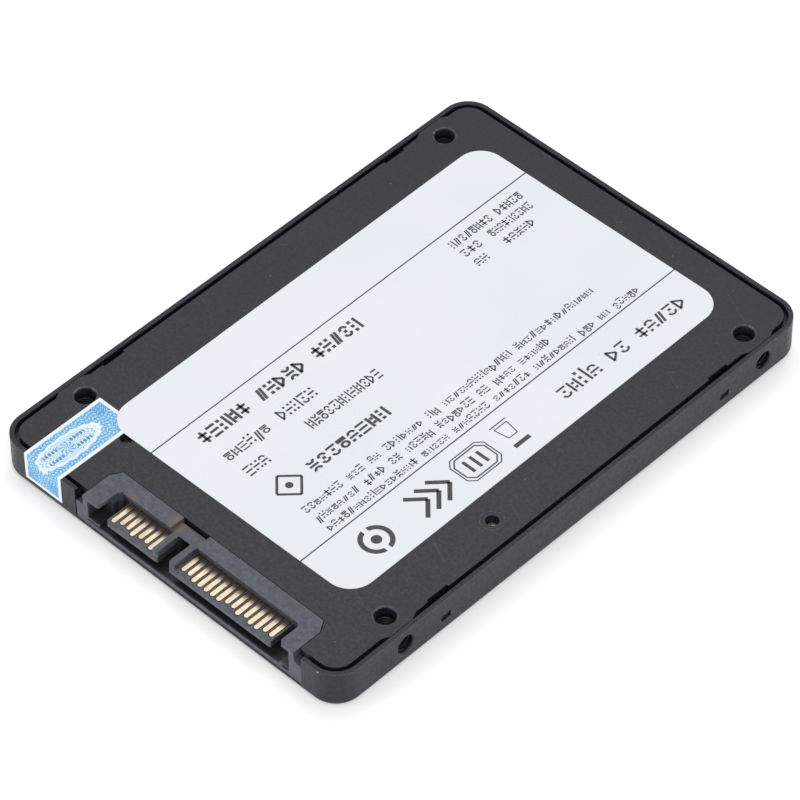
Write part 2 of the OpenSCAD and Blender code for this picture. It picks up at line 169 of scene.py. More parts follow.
def pick_edges(piece: Piece, wanted: Callable[[Vector], bool]) -> None:
    """Selects edges of the piece being edited.

    Args:
        piece: The piece in edit mode.
        wanted: Says of an edge's middle if the edge is picked.
    """
    mesh = bmesh.from_edit_mesh(piece.data)
    for edge in mesh.edges:
        edge.select_set(wanted((edge.verts[0].co + edge.verts[1].co) / 2))
    mesh.select_flush_mode()
    bmesh.update_edit_mesh(piece.data)


def apply_place(piece: Piece) -> Piece:
    """Moves a piece's place, turn and scale into its mesh.

    Args:
        piece: The piece.

    Returns:
        The same piece, at the origin.
    """
    take(piece)
    bpy.ops.object.transform_apply(location=True, rotation=True, scale=True)
    return piece


def apply_modifier(piece: Piece, kind: str, **settings: object) -> None:
    """Adds a modifier to the piece in hand and applies it.

    Args:
        piece: The piece, which is the only one in hand.
        kind: The modifier's type.
        **settings: Its settings.
    """
    modifier = piece.modifiers.new(kind, kind)
    for key, value in settings.items():
        setattr(modifier, key, value)
    bpy.ops.object.modifier_apply(modifier=modifier.name)


def shift(step: Sequence[float]) -> Matrix:
    """A move by a step in mm."""
    return Matrix.Translation(Vector(step) * MM)


def block(low: Sequence[float], high: Sequence[float]) -> Piece:
    """Starts a piece as a box.

    Args:
        low: Its lowest corner, in mm.
        high: Its highest corner, in mm.

    Returns:
        The box, with its place in its mesh.
    """
    let_go()
    a, b = Vector(low), Vector(high)
    bpy.ops.mesh.primitive_cube_add(size=1.0, location=(a + b) / 2 * MM)
    piece = named("block")
    piece.scale = (b - a) * MM
    return apply_place(piece)


def disc(centre: Place, radius: float, height: float, sides: int) -> Piece:
    """Starts a piece as an upright round slug.

    Args:
        centre: The middle of its underside, in mm.
        radius: Its radius, in mm.
        height: Its height, in mm.
        sides: The number of its sides.

    Returns:
        The slug, with its place in its mesh.
    """
    let_go()
    middle = Vector(centre) + Vector((0, 0, height / 2))
    bpy.ops.mesh.primitive_cylinder_add(
        vertices=sides, radius=radius * MM, depth=height * MM, location=middle * MM
    )
    return apply_place(named("disc"))


def hoop(centre: Place, inner: float, outer: float, height: float, sides: int) -> Piece:
    """Makes a flat ring: a circle extruded outwards, then up.

    Args:
        centre: The middle of its underside, in mm.
        inner: Radius of its hole, in mm.
        outer: Its outer radius, in mm.
        height: Its height, in mm.
        sides: The number of its sides.

    Returns:
        The closed ring, with its place in its mesh.
    """
    let_go()
    bpy.ops.mesh.primitive_circle_add(vertices=sides, radius=inner * MM, fill_type="NOTHING")
    piece = named("hoop")
    with edit(piece, "EDGE"):
        bpy.ops.mesh.extrude_edges_move()
        bpy.ops.transform.resize(value=(outer / inner, outer / inner, 1.0))
        bpy.ops.mesh.select_all(action="SELECT")
        bpy.ops.mesh.extrude_region_move(TRANSFORM_OT_translate={"value": (0, 0, height * MM)})
        bpy.ops.mesh.select_all(action="SELECT")
        bpy.ops.mesh.normals_make_consistent(inside=False)
    piece.location = Vector(centre) * MM
    return apply_place(piece)


def trim(piece: Piece, point: Sequence[float], normal: Sequence[float]) -> Piece:
    """Cuts a piece with a plane and closes the cut.

    Args:
        piece: The piece to cut.
        point: A point of the plane, in mm.
        normal: The plane's direction; what lies that way is thrown away.

    Returns:
        The same piece.
    """
    with edit(piece):
        bpy.ops.mesh.bisect(
            plane_co=Vector(point) * MM, plane_no=normal, use_fill=True, clear_outer=True
        )
    return piece


def stroke(start: Spot, end: Spot, width: float, low: float, high: float) -> Piece:
    """Makes one straight printed stroke as a thin slab.

    Args:
        start: One end of its middle line, in mm.
        end: The other end, in mm.
        width: Its width, in mm.
        low: Its underside, in mm.
        high: Its top, in mm.

    Returns:
        The stroke.
    """
    a, b = Vector(start), Vector(end)
    half = (b - a).length / 2
    piece = block((-half, -width / 2, low), (half, width / 2, high))
    turn = Matrix.Rotation(math.atan2(b.y - a.y, b.x - a.x), 4, "Z")
    piece.data.transform(shift(((a.x + b.x) / 2, (a.y + b.y) / 2, 0)) @ turn)
    return piece


def outline(corners: Sequence[Spot], width: float, low: float, high: float) -> list[Piece]:
    """Strokes round a closed outline.

    Args:
        corners: The outline's corners, in mm.
        width: The strokes' width, in mm.
        low: Their underside, in mm.
        high: Their top, in mm.

    Returns:
        The strokes, not yet joined.
    """
    ends = zip(corners, [*corners[1:], corners[0]])
    return [stroke(a, b, width, low, high) for a, b in ends]


def copy_of(piece: Piece, matrix: Matrix) -> Piece:
    """Copies a piece, mesh and all.

    Args:
        piece: The piece to copy.
        matrix: How the copy's mesh is moved.

    Returns:
        The copy.
    """
    twin = piece.copy()
    twin.data = piece.data.copy()
    twin.data.transform(matrix)
    bpy.context.scene.collection.objects.link(twin)
    return twin


def throw_away(pieces: Sequence[Piece]) -> None:
    """Removes the masters that were only there to be copied."""
    for piece in pieces:
        bpy.data.objects.remove(piece)


def merge(name: str, pieces: Sequence[Piece]) -> Piece:
    """Joins pieces into one.

    Args:
        name: The joined piece's name.
        pieces: What is joined, at least one.

    Returns:
        The joined piece.
    """
    let_go()
    for piece in pieces:
        piece.select_set(True)
    bpy.context.view_layer.objects.active = pieces[0]
    if len(pieces) > 1:
        bpy.ops.object.join()
    return named(name)


def round_edges(piece: Piece, width: float, segments: int = 2) -> None:
    """Rounds a piece's edges and keeps its flats flat.

    Args:
        piece: The piece.
        width: How far each rounding reaches, in mm.
        segments: Faces across a rounding.
    """
    take(piece)
    apply_modifier(
        piece, "BEVEL", width=width * MM, segments=segments, limit_method="ANGLE",
        angle_limit=ROUND_ABOVE, use_clamp_overlap=True, miter_outer="MITER_SHARP",
    )
    bpy.ops.object.shade_smooth_by_angle(angle=SMOOTH_BELOW)
    apply_modifier(piece, "WEIGHTED_NORMAL", keep_sharp=True)


def moulding_from(node: str, name: str, width: float, segments: int = 2) -> Piece:
    """Copies a CAD node as one clean skin and rounds its edges.

    Args:
        node: The CAD node.
        name: The new piece's name.
        width: How far the rounding reaches, in mm.
        segments: Faces across a rounding.

    Returns:
        The new piece, which stands for the node.
    """
    piece = bpy.data.objects.new(name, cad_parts[node].data.copy())
    bpy.context.scene.collection.objects.link(piece)
    with edit(piece, "VERT"):
        bpy.ops.mesh.remove_doubles(threshold=WELD)
        bpy.ops.mesh.dissolve_limited(angle_limit=FLAT_WITHIN)
    if "custom_normal" in piece.data.attributes:
        piece.data.attributes.remove(piece.data.attributes["custom_normal"])
    round_edges(piece, width, segments)
    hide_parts(node)
    return piece


def fit_out(piece: Piece, body: Body, finish: Material, slot: str) -> None:
    """Gives a finished piece its material and its body.

    Args:
        piece: The piece.
        body: The body that it moves with.
        finish: Its material.
        slot: The record's slot; not used.
    """
    piece.data.materials.clear()
    piece.data.materials.append(finish)
    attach(piece, body.value)
    LOG.info("%s: %d faces, rides on %s", piece.name, len(piece.data.polygons), body.value)


def dress_node(node: str, finish: Material) -> None:
    """Gives a CAD node that stays in view its material.

    Args:
        node: The CAD node.
        finish: Its material.
    """
    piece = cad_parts[node]
    if not piece.data.materials:
        piece.data.materials.append(finish)
    for holder in piece.material_slots:
        holder.material = finish
    LOG.info("%s: CAD shape kept, new finish", node)


@dataclass(frozen=True)
class Extent:
    """Lowest and highest corner of a solid, in mm."""

    low: Vector
    high: Vector

    @classmethod
    def of(cls, node: str) -> "Extent":
        """The extent of a whole CAD node."""
        low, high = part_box(node)
        return cls(low / MM, high / MM)

    @property
    def middle(self) -> Vector:
        """The point halfway between the corners."""
        return (self.low + self.high) / 2

    @property
    def size(self) -> Vector:
        """The lengths of the sides."""
        return self.high - self.low

    def covers(self, x: float, y: float, margin: float) -> bool:
        """Says if a spot is over the solid, or within a margin of it, in mm."""
        low, high = self.low, self.high
        return low.x - margin < x < high.x + margin and low.y - margin < y < high.y + margin


def solids_of(node: str) -> list[Extent]:
    """Finds the separate solids of a CAD node.

    Args:
        node: The CAD node.

    Returns:
        One extent for each solid, in order along x and then y.
    """
    mesh = bmesh.new()
    mesh.from_mesh(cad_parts[node].data)
    bmesh.ops.remove_doubles(mesh, verts=mesh.verts, dist=WELD)
    mesh.verts.index_update()
    seen: set[int] = set()
    found: list[Extent] = []
    for first in mesh.verts:
        if first.index in seen:
            continue
        seen.add(first.index)
        waiting, points = [first], []
        while waiting:
            vert = waiting.pop()
            points.append(vert.co / MM)
            for other in (edge.other_vert(vert) for edge in vert.link_edges):
                if other.index not in seen:
                    seen.add(other.index)
                    waiting.append(other)
        low = Vector([min(p[i] for p in points) for i in range(3)])
        high = Vector([max(p[i] for p in points) for i in range(3)])
        found.append(Extent(low, high))
    mesh.free()
    return sorted(found, key=lambda e: (round(e.middle.x, 2), round(e.middle.y, 2)))


# ------------------------------------------------------------------ finishes


class Recipe:
    """One material's nodes, written as short calls. All patterns are in mm."""

    def __init__(self, name: str) -> None:
        """Starts a material.

        Args:
            name: The material's name.
        """
        self.material = bpy.data.materials.new(name)
        self.material.use_nodes = True
        self.tree = self.material.node_tree
        spot = self.add("ShaderNodeTexCoord").outputs["Object"]
        grow = (1 / MM, 1 / MM, 1 / MM)
        self.place = self.add("ShaderNodeMapping", {"Vector": spot, "Scale": grow}).outputs[0]

    @cached_property
    def axes(self) -> tuple[Socket, Socket, Socket]:
        """The plain place as x, y and z, in mm."""
        parts = self.add("ShaderNodeSeparateXYZ", {0: self.place}).outputs
        return parts[0], parts[1], parts[2]

    def add(self, kind: str, inputs: dict | None = None, **settings: object) -> bpy.types.Node:
        """Adds a node.

        Args:
            kind: The node's type.
            inputs: Values or sockets for its inputs, by name or number.
            **settings: The node's own settings.

        Returns:
            The node.
        """
        node = self.tree.nodes.new(kind)
        for key, value in settings.items():
            setattr(node, key, value)
        self.feed(node, inputs or {})
        return node

    def feed(self, node: bpy.types.Node, inputs: dict) -> None:
        """Sets a node's inputs.

        Args:
            node: The node.
            inputs: Values or sockets, by the input's name or number.
        """
        for key, value in inputs.items():
            if isinstance(value, bpy.types.NodeSocket):
                self.tree.links.new(value, node.inputs[key])
            else:
                node.inputs[key].default_value = value

    def stretched(self, scale: Place, turn: float = 0.0, start: Place = (0, 0, 0)) -> Socket:
        """Places a pattern that is longer one way than the other.

        Args:
            scale: Repeats per mm along x, y and z.
            turn: How far the pattern is turned about z, in degrees.
            start: Where the pattern starts.

        Returns:
            The place to hand to a pattern.
        """
        turned = self.add(
            "ShaderNodeMapping", {"Vector": self.place, "Rotation": (0, 0, math.radians(turn))}
        )
        inputs = {"Vector": turned.outputs[0], "Scale": scale, "Location": start}
        return self.add("ShaderNodeMapping", inputs).outputs[0]

    def noise(
        self, scale: float, detail: float = 2.0, rough: float = 0.5, at: Socket | None = None
    ) -> Socket:
        """Soft random mottling.

        Args:
            scale: Blotches per mm.
            detail: How many finer layers it has.
            rough: How strong the finer layers are.
            at: The place, if it isn't the plain one.

        Returns:
            A value around 0.5.
        """
        inputs = {"Vector": at or self.place, "Scale": scale, "Detail": detail, "Roughness": rough}
        return self.add("ShaderNodeTexNoise", inputs).outputs[0]

    def cells(self, scale: float) -> Socket:
        """The distance to the nearest of many random points."""
        inputs = {"Vector": self.place, "Scale": scale}
        return self.add("ShaderNodeTexVoronoi", inputs).outputs["Distance"]

    def calc(self, operation: str, *values: Socket | float) -> Socket:
        """Works values out from left to right.

        Args:
            operation: ADD, MULTIPLY, MAXIMUM, SINE and so on.
            *values: One value, or several that are taken in turn.

        Returns:
            The result.
        """
        result = values[0]
        for value in values[1:] or (0.0,):
            node = self.add("ShaderNodeMath", {0: result, 1: value}, operation=operation)
            result = node.outputs[0]
        return result

    def times(self, *values: Socket | float) -> Socket:
        """The product of the values."""
        return self.calc("MULTIPLY", *values)

    def less(self, value: Socket, taken: Socket | float) -> Socket:
        """A value with another taken off."""
        return self.calc("SUBTRACT", value, taken)

    def size(self, value: Socket) -> Socket:
        """A value without its sign."""
        return self.calc("ABSOLUTE", value)

    def reach(self, *parts: Socket) -> Socket:
        """The length of a step, from its parts along each axis."""
        return self.calc("SQRT", self.calc("ADD", *(self.calc("POWER", p, 2.0) for p in parts)))

    def distance(self, centre: Place) -> Socket:
        """How far the place is from a point, in mm."""
        return self.reach(*(self.less(axis, c) for axis, c in zip(self.axes, centre)))

    def ease(
        self, value: Socket, low: float, high: float, start: float = 0.0, end: float = 1.0
    ) -> Socket:
        """Turns a value into a soft step.

        Args:
            value: What is looked at.
            low: Where the step starts.
            high: Where it ends.
            start: The result below low.
            end: The result above high.

        Returns:
            The step.
        """
        inputs = {"Value": value, 1: low, 2: high, 3: start, 4: end}
        node = self.add("ShaderNodeMapRange", inputs, interpolation_type="SMOOTHSTEP")
        return node.outputs[0]

    def fall(self, value: Socket, low: float, high: float, start: float = 1.0) -> Socket:
        """A soft step down to nothing."""
        return self.ease(value, low, high, start, 0.0)

    def band(self, value: Socket, rise: Spot, fall: Spot) -> Socket:
        """1 between a rise and a fall, and 0 outside them."""
        return self.times(self.ease(value, *rise), self.fall(value, *fall))

    def around(self, value: Socket, middle: float, less: float, more: float) -> Socket:
        """A value near the middle, such as a roughness, led by a pattern."""
        return self.ease(value, 0.3, 0.7, middle - less, middle + more)

    def mix(self, amount: Socket | float, a: Socket | Rgba, b: Socket | Rgba) -> Socket:
        """Goes from colour a to colour b."""
        node = self.add("ShaderNodeMix", {0: amount, 6: a, 7: b}, data_type="RGBA")
        return node.outputs[2]

    def bump(self, height: Socket, depth: float, under: Socket | None = None) -> Socket:
        """Relief.

        Args:
            height: The relief, from 0 to 1.
            depth: How deep it is, in mm.
            under: The relief that it lies on.

        Returns:
            The normal for the shader.
        """
        inputs = {"Height": height, "Distance": depth * MM, "Strength": 1.0}
        if under is not None:
            inputs["Normal"] = under
        return self.add("ShaderNodeBump", inputs).outputs[0]

    def done(self, **sockets: Socket | float | Rgba) -> Material:
        """Sets the shader and hands the material over.

        Args:
            **sockets: Shader inputs, with _ for a space.

        Returns:
            The material.
        """
        shader = self.tree.nodes["Principled BSDF"]
        self.feed(shader, {key.replace("_", " "): value for key, value in sockets.items()})
        return self.material


@dataclass(frozen=True)
class CasePlastic:
    """Charcoal case moulding: fine spark grain, hairlines, dust, chips, painted edge highlights and
    shade.
    """

    name: str
    base: Rgba
    grain_per_mm: float = 5.0
    grain_depth: float = 0.010
    wave_depth: float = 0.012
    roughness: float = 0.40
    gloss: float = 0.37
    hairline_turn: float = 38.0
    cross_turn: float = -52.0
    # recess_x, recess_wall, recess_z and recess_y bound the painted shade in the side recesses
    recess_x: Spot | None = None
    recess_wall: Spot = (33.40, 33.44)
    recess_z: Spot = (5.55, 5.6)
    recess_y: Spot = (44.0, 44.5)
    chips: tuple[tuple[Place, float], ...] = ()
    # mouths get a painted highlight ring; rim_rise and rim_fall bound the painted rim highlight
    mouths: tuple[Spot, ...] = ()
    rim_rise: Spot = (6.90, 6.93)
    rim_fall: Spot = (6.965, 6.985)

    def marks(self, r: Recipe) -> Socket:
        """Hairlines in two directions where the case was handled, and dust.

        Args:
            r: The material's recipe.

        Returns:
            Where the marks are, from 0 to 1.
        """
        hair = r.noise(1.0, 1.0, 0.4, r.stretched((0.045, 7.0, 2.0), self.hairline_turn))
        cross = r.noise(1.0, 1.0, 0.4, r.stretched((0.09, 9.0, 2.0), self.cross_turn, (3, 9, 1)))
        handled = r.noise(0.09, 1.0, 0.5, r.stretched((1, 1, 1), 0, (40, 7, 3)))
        lines = r.calc("MAXIMUM", r.ease(hair, 0.73, 0.77), r.ease(cross, 0.745, 0.79))
        lines = r.times(lines, r.ease(handled, 0.5, 0.66))
        dust = r.times(r.fall(r.cells(0.62), 0.035, 0.075), r.ease(r.noise(0.31), 0.54, 0.6))
        return r.calc("MAXIMUM", r.times(lines, 0.35), r.times(dust, 0.5))

    def worn(self, r: Recipe, body: Socket, fine: Socket) -> Socket:
        """Adds small chips, and painted highlights round the hole mouths and along the rim edges.

        Args:
            r: The material's recipe.
            body: The colour so far.
            fine: The pattern that breaks the rim's painted highlight up.

        Returns:
            The colour with the chips and the painted highlights.
        """
        x, y, z = r.axes
        for centre, radius in self.chips:
            chip = r.fall(r.distance(centre), radius * 0.5, radius, 0.8)
            body = r.mix(chip, body, tone(196, 196, 202))
        # painted highlight: a patchy lighter ring round each hole mouth, for light caught on its
        # rounded edge
        for mouth_x, mouth_y in self.mouths:
            far = r.reach(r.less(r.size(x), mouth_x), r.less(y, mouth_y))
            patchy = r.ease(r.noise(0.9), 0.40, 0.66, 0.10, 0.60)
            ring = r.times(r.band(far, (1.56, 1.68), (1.78, 1.98)), patchy)
            body = r.mix(ring, body, tone(108, 107, 114))
        # painted highlight: a lighter band over the rounded rim edges just under the top, for light
        # glinting there
        rim = r.times(r.band(z, self.rim_rise, self.rim_fall), r.ease(fine, 0.3, 0.7, 0.12, 0.48))
        return r.mix(rim, body, tone(140, 140, 147))

    def make(self) -> Material:
        """Makes the material.

        Returns:
            The material.
        """
        r = Recipe(self.name)
        x, y, z = r.axes
        grain = r.noise(self.grain_per_mm, 3.0, 0.6)
        fine = r.noise(1.7)
        body = r.mix(r.ease(r.noise(0.055, 3.0), 0.32, 0.7), self.base, scaled(self.base, 1.16))
        body = r.mix(r.ease(grain, 0.54, 0.70, 0.0, 0.6), body, tone(64, 62, 70))
        marks = self.marks(r)
        # chips, and painted highlights on the hole mouths and rim edges, are added here
        body = self.worn(r, r.mix(marks, body, tone(132, 131, 137)), fine)
        # painted shade: the bores of the side holes and the wall windows are darkened nearly to
        # black, for the shade inside them
        if self.recess_x is not None:
            recess_shade = r.times(
                r.band(r.size(x), self.recess_wall, self.recess_x),
                r.fall(z, *self.recess_z, 0.9),
                r.fall(r.size(y), *self.recess_y),
            )
            body = r.mix(recess_shade, body, tone(8, 8, 9))
        rough = r.calc("ADD", r.around(fine, self.roughness, 0.05, 0.07), r.times(marks, 0.2))
        normal = r.bump(r.noise(0.35, 1.0), self.wave_depth, r.bump(grain, self.grain_depth))
        return r.done(
            Base_Color=body, Roughness=rough, Normal=normal, Specular_IOR_Level=self.gloss
        )


@dataclass(frozen=True)
class ConnectorPlastic:
    """Glass-filled connector resin: blue grey, scuffed along its length, brownish patches, painted
    shade in recesses.
    """

    name: str
    base: Rgba
    worn: Rgba
    brown_tint: Rgba
    brown_patches: tuple[tuple[Place, float], ...]
    # front, mouth_z and deep_z bound the painted shade behind the front edge
    front: Spot = (-49.8, -49.5)
    mouth_z: Spot = (5.06, 5.14)
    deep_z: Spot = (2.2, 4.6)
    roughness: float = 0.48
    grit_depth: float = 0.012
    fibre_depth: float = 0.014

    def make(self) -> Material:
        """Makes the material.

        Returns:
            The material.
        """
        r = Recipe(self.name)
        _, y, z = r.axes
        mottle = r.noise(1.5, 4.0, 0.66)
        fibre = r.noise(1.0, 3.0, 0.6, r.stretched((1.1, 9.0, 6.0)))
        grit = r.noise(6.5, 3.0, 0.7)
        body = r.mix(r.ease(mottle, 0.3, 0.72), self.base, self.worn)
        body = r.mix(r.ease(fibre, 0.54, 0.78, 0.0, 0.45), body, tone(122, 124, 132))
        body = r.mix(r.fall(grit, 0.34, 0.5, 0.34), body, tone(52, 53, 60))
        ragged = r.times(r.less(mottle, 0.5), 2.2)
        # brownish patches round the listed spots, made ragged by the mottling
        for centre, radius in self.brown_patches:
            far = r.calc("ADD", r.distance(centre), ragged)
            body = r.mix(r.fall(far, radius * 0.2, radius, 0.55), body, self.brown_tint)
        # painted shade: behind the front edge, the mouth under the tongues and the deep recesses
        # are darkened, for the shade that falls there
        behind = r.ease(y, *self.front)
        shade = r.times(behind, r.fall(z, *self.mouth_z, 0.6))
        body = r.mix(shade, body, tone(30, 30, 34))
        shade = r.times(behind, r.fall(z, *self.deep_z, 0.85))
        body = r.mix(shade, body, tone(26, 26, 29))
        rough = r.ease(fibre, 0.3, 0.75, self.roughness - 0.08, self.roughness + 0.12)
        normal = r.bump(fibre, self.fibre_depth, r.bump(grit, self.grit_depth))
        return r.done(Base_Color=body, Roughness=rough, Normal=normal)


@dataclass(frozen=True)
class ContactMetal:
    """Plated contact: pale gold, drawn along its length, with painted shade towards the root."""

    name: str
    plate: Rgba
    # root is the colour of the painted shade, and of the drawn streaks
    root: Rgba
    tip_y: float
    root_y: float
    roughness: float = 0.36
    line_depth: float = 0.012

    def make(self) -> Material:
        """Makes the material.

        Returns:
            The material.
        """
        r = Recipe(self.name)
        drawn = r.noise(1.0, 3.0, 0.6, r.stretched((13.0, 0.55, 9.0)))
        blotch = r.noise(1.3, 3.0, 0.6)
        along = r.calc("ADD", r.axes[1], r.times(r.less(blotch, 0.5), 1.4))
        # painted shade: the plate darkens from tip_y to root_y, for the shade under the connector's
        # top
        body = r.mix(r.ease(along, self.tip_y, self.root_y, 0.0, 0.85), self.plate, self.root)
        body = r.mix(r.ease(drawn, 0.5, 0.72, 0.0, 0.6), body, self.root)
        body = r.mix(r.ease(blotch, 0.62, 0.8, 0.0, 0.35), body, tone(232, 218, 188))
        rough = r.around(drawn, self.roughness, 0.08, 0.12)
        normal = r.bump(drawn, self.line_depth)
        return r.done(Base_Color=body, Roughness=rough, Normal=normal, Metallic=1.0)


@dataclass(frozen=True)
class MachinedMetal:
    """Turned or stamped metal: fine tool lines and a few dark spots."""

    name: str
    base: Rgba
    roughness: float = 0.32
    lines: Place = (9.0, 0.9, 5.0)
    line_turn: float = 17.0
    line_depth: float = 0.010
    right_hand: Rgba | None = None

    def make(self) -> Material:
        """Makes the material.

        Returns:
            The material.
        """
        r = Recipe(self.name)
        tool = r.noise(1.0, 3.0, 0.65, r.stretched(self.lines, self.line_turn))
        own: Socket | Rgba = self.base
        if self.right_hand is not None:
            own = r.mix(r.ease(r.axes[0], -0.5, 0.5), self.base, self.right_hand)
        tarnish = r.ease(r.noise(1.6, 3.0, 0.6), 0.5, 0.78, 0.0, 0.6)
        body = r.mix(tarnish, own, scaled(self.base, 0.45))
        rough = r.around(tool, self.roughness, 0.10, 0.14)
        normal = r.bump(tool, self.line_depth)
        return r.done(Base_Color=body, Roughness=rough, Normal=normal, Metallic=1.0)


@dataclass(frozen=True)
class LabelPaper:
    """Satin label film: bluish white, a faint tooth, slight handling marks."""

    name: str
    base: Rgba
    shade: Rgba
    roughness: float = 0.42
    tooth_depth: float = 0.004
    wave_depth: float = 0.020
    rub_turn: float = 64.0

    def make(self) -> Material:
        """Makes the material.

        Returns:
            The material.
        """
        r = Recipe(self.name)
        tooth = r.noise(4.2, 3.0, 0.6)
        body = r.mix(r.ease(r.noise(0.035), 0.3, 0.7), self.base, self.shade)
        body = r.mix(r.ease(tooth, 0.55, 0.8, 0.0, 0.10), body, tone(205, 208, 214))
        rub = r.noise(1.0, 2.0, 0.5, r.stretched((0.05, 2.6, 1.0), self.rub_turn, (5, 2, 0)))
        rub = r.times(r.ease(rub, 0.66, 0.74), r.ease(r.noise(0.06), 0.52, 0.62), 0.10)
        body = r.mix(rub, body, tone(190, 192, 198))
        fleck = r.times(r.fall(r.cells(0.3), 0.03, 0.05), r.ease(r.noise(0.2), 0.56, 0.6), 0.35)
        body = r.mix(fleck, body, tone(150, 150, 154))
        normal = r.bump(r.noise(0.12, 1.0), self.wave_depth, r.bump(tooth, self.tooth_depth))
        rough = r.around(tooth, self.roughness, 0.04, 0.08)
        return r.done(Base_Color=body, Roughness=rough, Normal=normal)


@dataclass(frozen=True)
class PrintInk:
    """Printed ink: soft black or grey with slightly uneven cover."""

    name: str
    ink: Rgba
    thin: Rgba
    roughness: float = 0.5
    depth: float = 0.003

    def make(self) -> Material:
        """Makes the material.

        Returns:
            The material.
        """
        r = Recipe(self.name)
        cover = r.noise(3.4, 3.0, 0.6)
        body = r.mix(r.ease(cover, 0.5, 0.76, 0.0, 0.5), self.ink, self.thin)
        rough = r.around(cover, self.roughness, 0.05, 0.10)
        return r.done(Base_Color=body, Roughness=rough, Normal=r.bump(cover, self.depth))


@dataclass(frozen=True)
class SealFilm:
    """Security seal: a white edge round a field of engraved blue line work."""

    name: str
    middle: Spot
    half: Spot
    fold_z: float
    border: float = 0.62
    shield: Spot = (2.45, 6.9)
    shield_edge: Spot = (0.80, 0.84)
    shield_rim: Spot = (0.93, 0.97)
    scallops: float = 18.0
    petals: float = 9.0
    rosette: Spot = (1.15, 1.35)
    row_x: float = 0.82
    row_half: float = 4.0
    paper: Rgba = tone(232, 240, 247)
    pale: Rgba = tone(160, 209, 238)
    blue: Rgba = tone(72, 152, 210)

    def make(self) -> Material:
        """Makes the material. Past the fold, the pattern runs on down the flap.

        Returns:
            The material.
        """
        r = Recipe(self.name)
        x, y, z = r.axes
        u = r.less(x, self.middle[0])
        w = r.less(r.calc("ADD", y, r.less(z, self.fold_z)), self.middle[1])
        across, along = r.size(u), r.size(w)

        def wave(value: Socket, pitch: float, sway: Socket | float = 0.0) -> Socket:
            """Evenly spaced lines across a value, pushed sideways by sway."""
            return r.calc("SINE", r.calc("ADD", r.times(value, math.tau / pitch), sway))

        field_lines = r.calc(
            "MAXIMUM",
            wave(w, 0.56, r.times(wave(u, 1.55), 2.2)),
            wave(u, 0.62, r.times(wave(w, 2.1), 1.9)),
        )
        colour = r.mix(r.ease(field_lines, 0.35, 0.85), self.pale, self.blue)

        # an oval shield with a scalloped edge, and a rosette in its middle
        oval = [r.calc("DIVIDE", part, half) for part, half in zip((u, w), self.shield)]
        turn = r.calc("ARCTAN2", *oval)
        scallop = r.times(r.calc("SINE", r.times(turn, self.scallops)), 0.035)
        edge = r.calc("ADD", r.reach(*oval), scallop)
        rings = r.mix(r.ease(wave(edge, 0.115), -0.4, 0.8), self.paper, tone(120, 190, 232))
        colour = r.mix(r.fall(edge, *self.shield_edge), colour, rings)
        colour = r.mix(r.band(edge, self.shield_edge, self.shield_rim), colour, self.paper)
        far = r.reach(u, w)
        swirl = r.calc("ADD", r.times(r.calc("ARCTAN2", u, w), self.petals), r.times(far, 5.0))
        petals = r.ease(r.calc("SINE", swirl), -0.1, 0.5)
        colour = r.mix(r.times(r.fall(far, *self.rosette), petals), colour, self.blue)

        # two rows of plain lozenges where such seals carry words
        bead = r.times(
            r.fall(r.size(r.less(across, self.row_x)), 0.22, 0.36),
            r.ease(r.size(wave(w, 1.24)), 0.35, 0.55),
            r.fall(along, self.row_half, self.row_half + 0.2),
            r.ease(far, self.rosette[1], self.rosette[1] + 0.15),
        )
        colour = r.mix(bead, colour, tone(70, 130, 176))

        # hatched corner blocks, and the bare edge
        corner = r.times(r.ease(across, 1.1, 1.25), r.ease(along, 7.4, 7.6))
        hatch = r.ease(wave(r.calc("ADD", u, w), 0.44), -0.2, 0.4)
        colour = r.mix(r.times(corner, hatch), colour, self.blue)
        bare = [
            r.ease(part, half - self.border, half - self.border + 0.06)
            for part, half in zip((across, along), self.half)
        ]
        colour = r.mix(r.calc("MAXIMUM", *bare), colour, self.paper)
        colour = r.mix(r.ease(r.noise(0.5), 0.45, 0.8, 0.0, 0.25), colour, self.paper)
        tooth = r.noise(3.5)
        normal = r.bump(r.noise(0.25, 1.0), 0.03, r.bump(tooth, 0.004))
        return r.done(Base_Color=colour, Roughness=r.around(tooth, 0.39, 0.05, 0.05), Normal=normal)


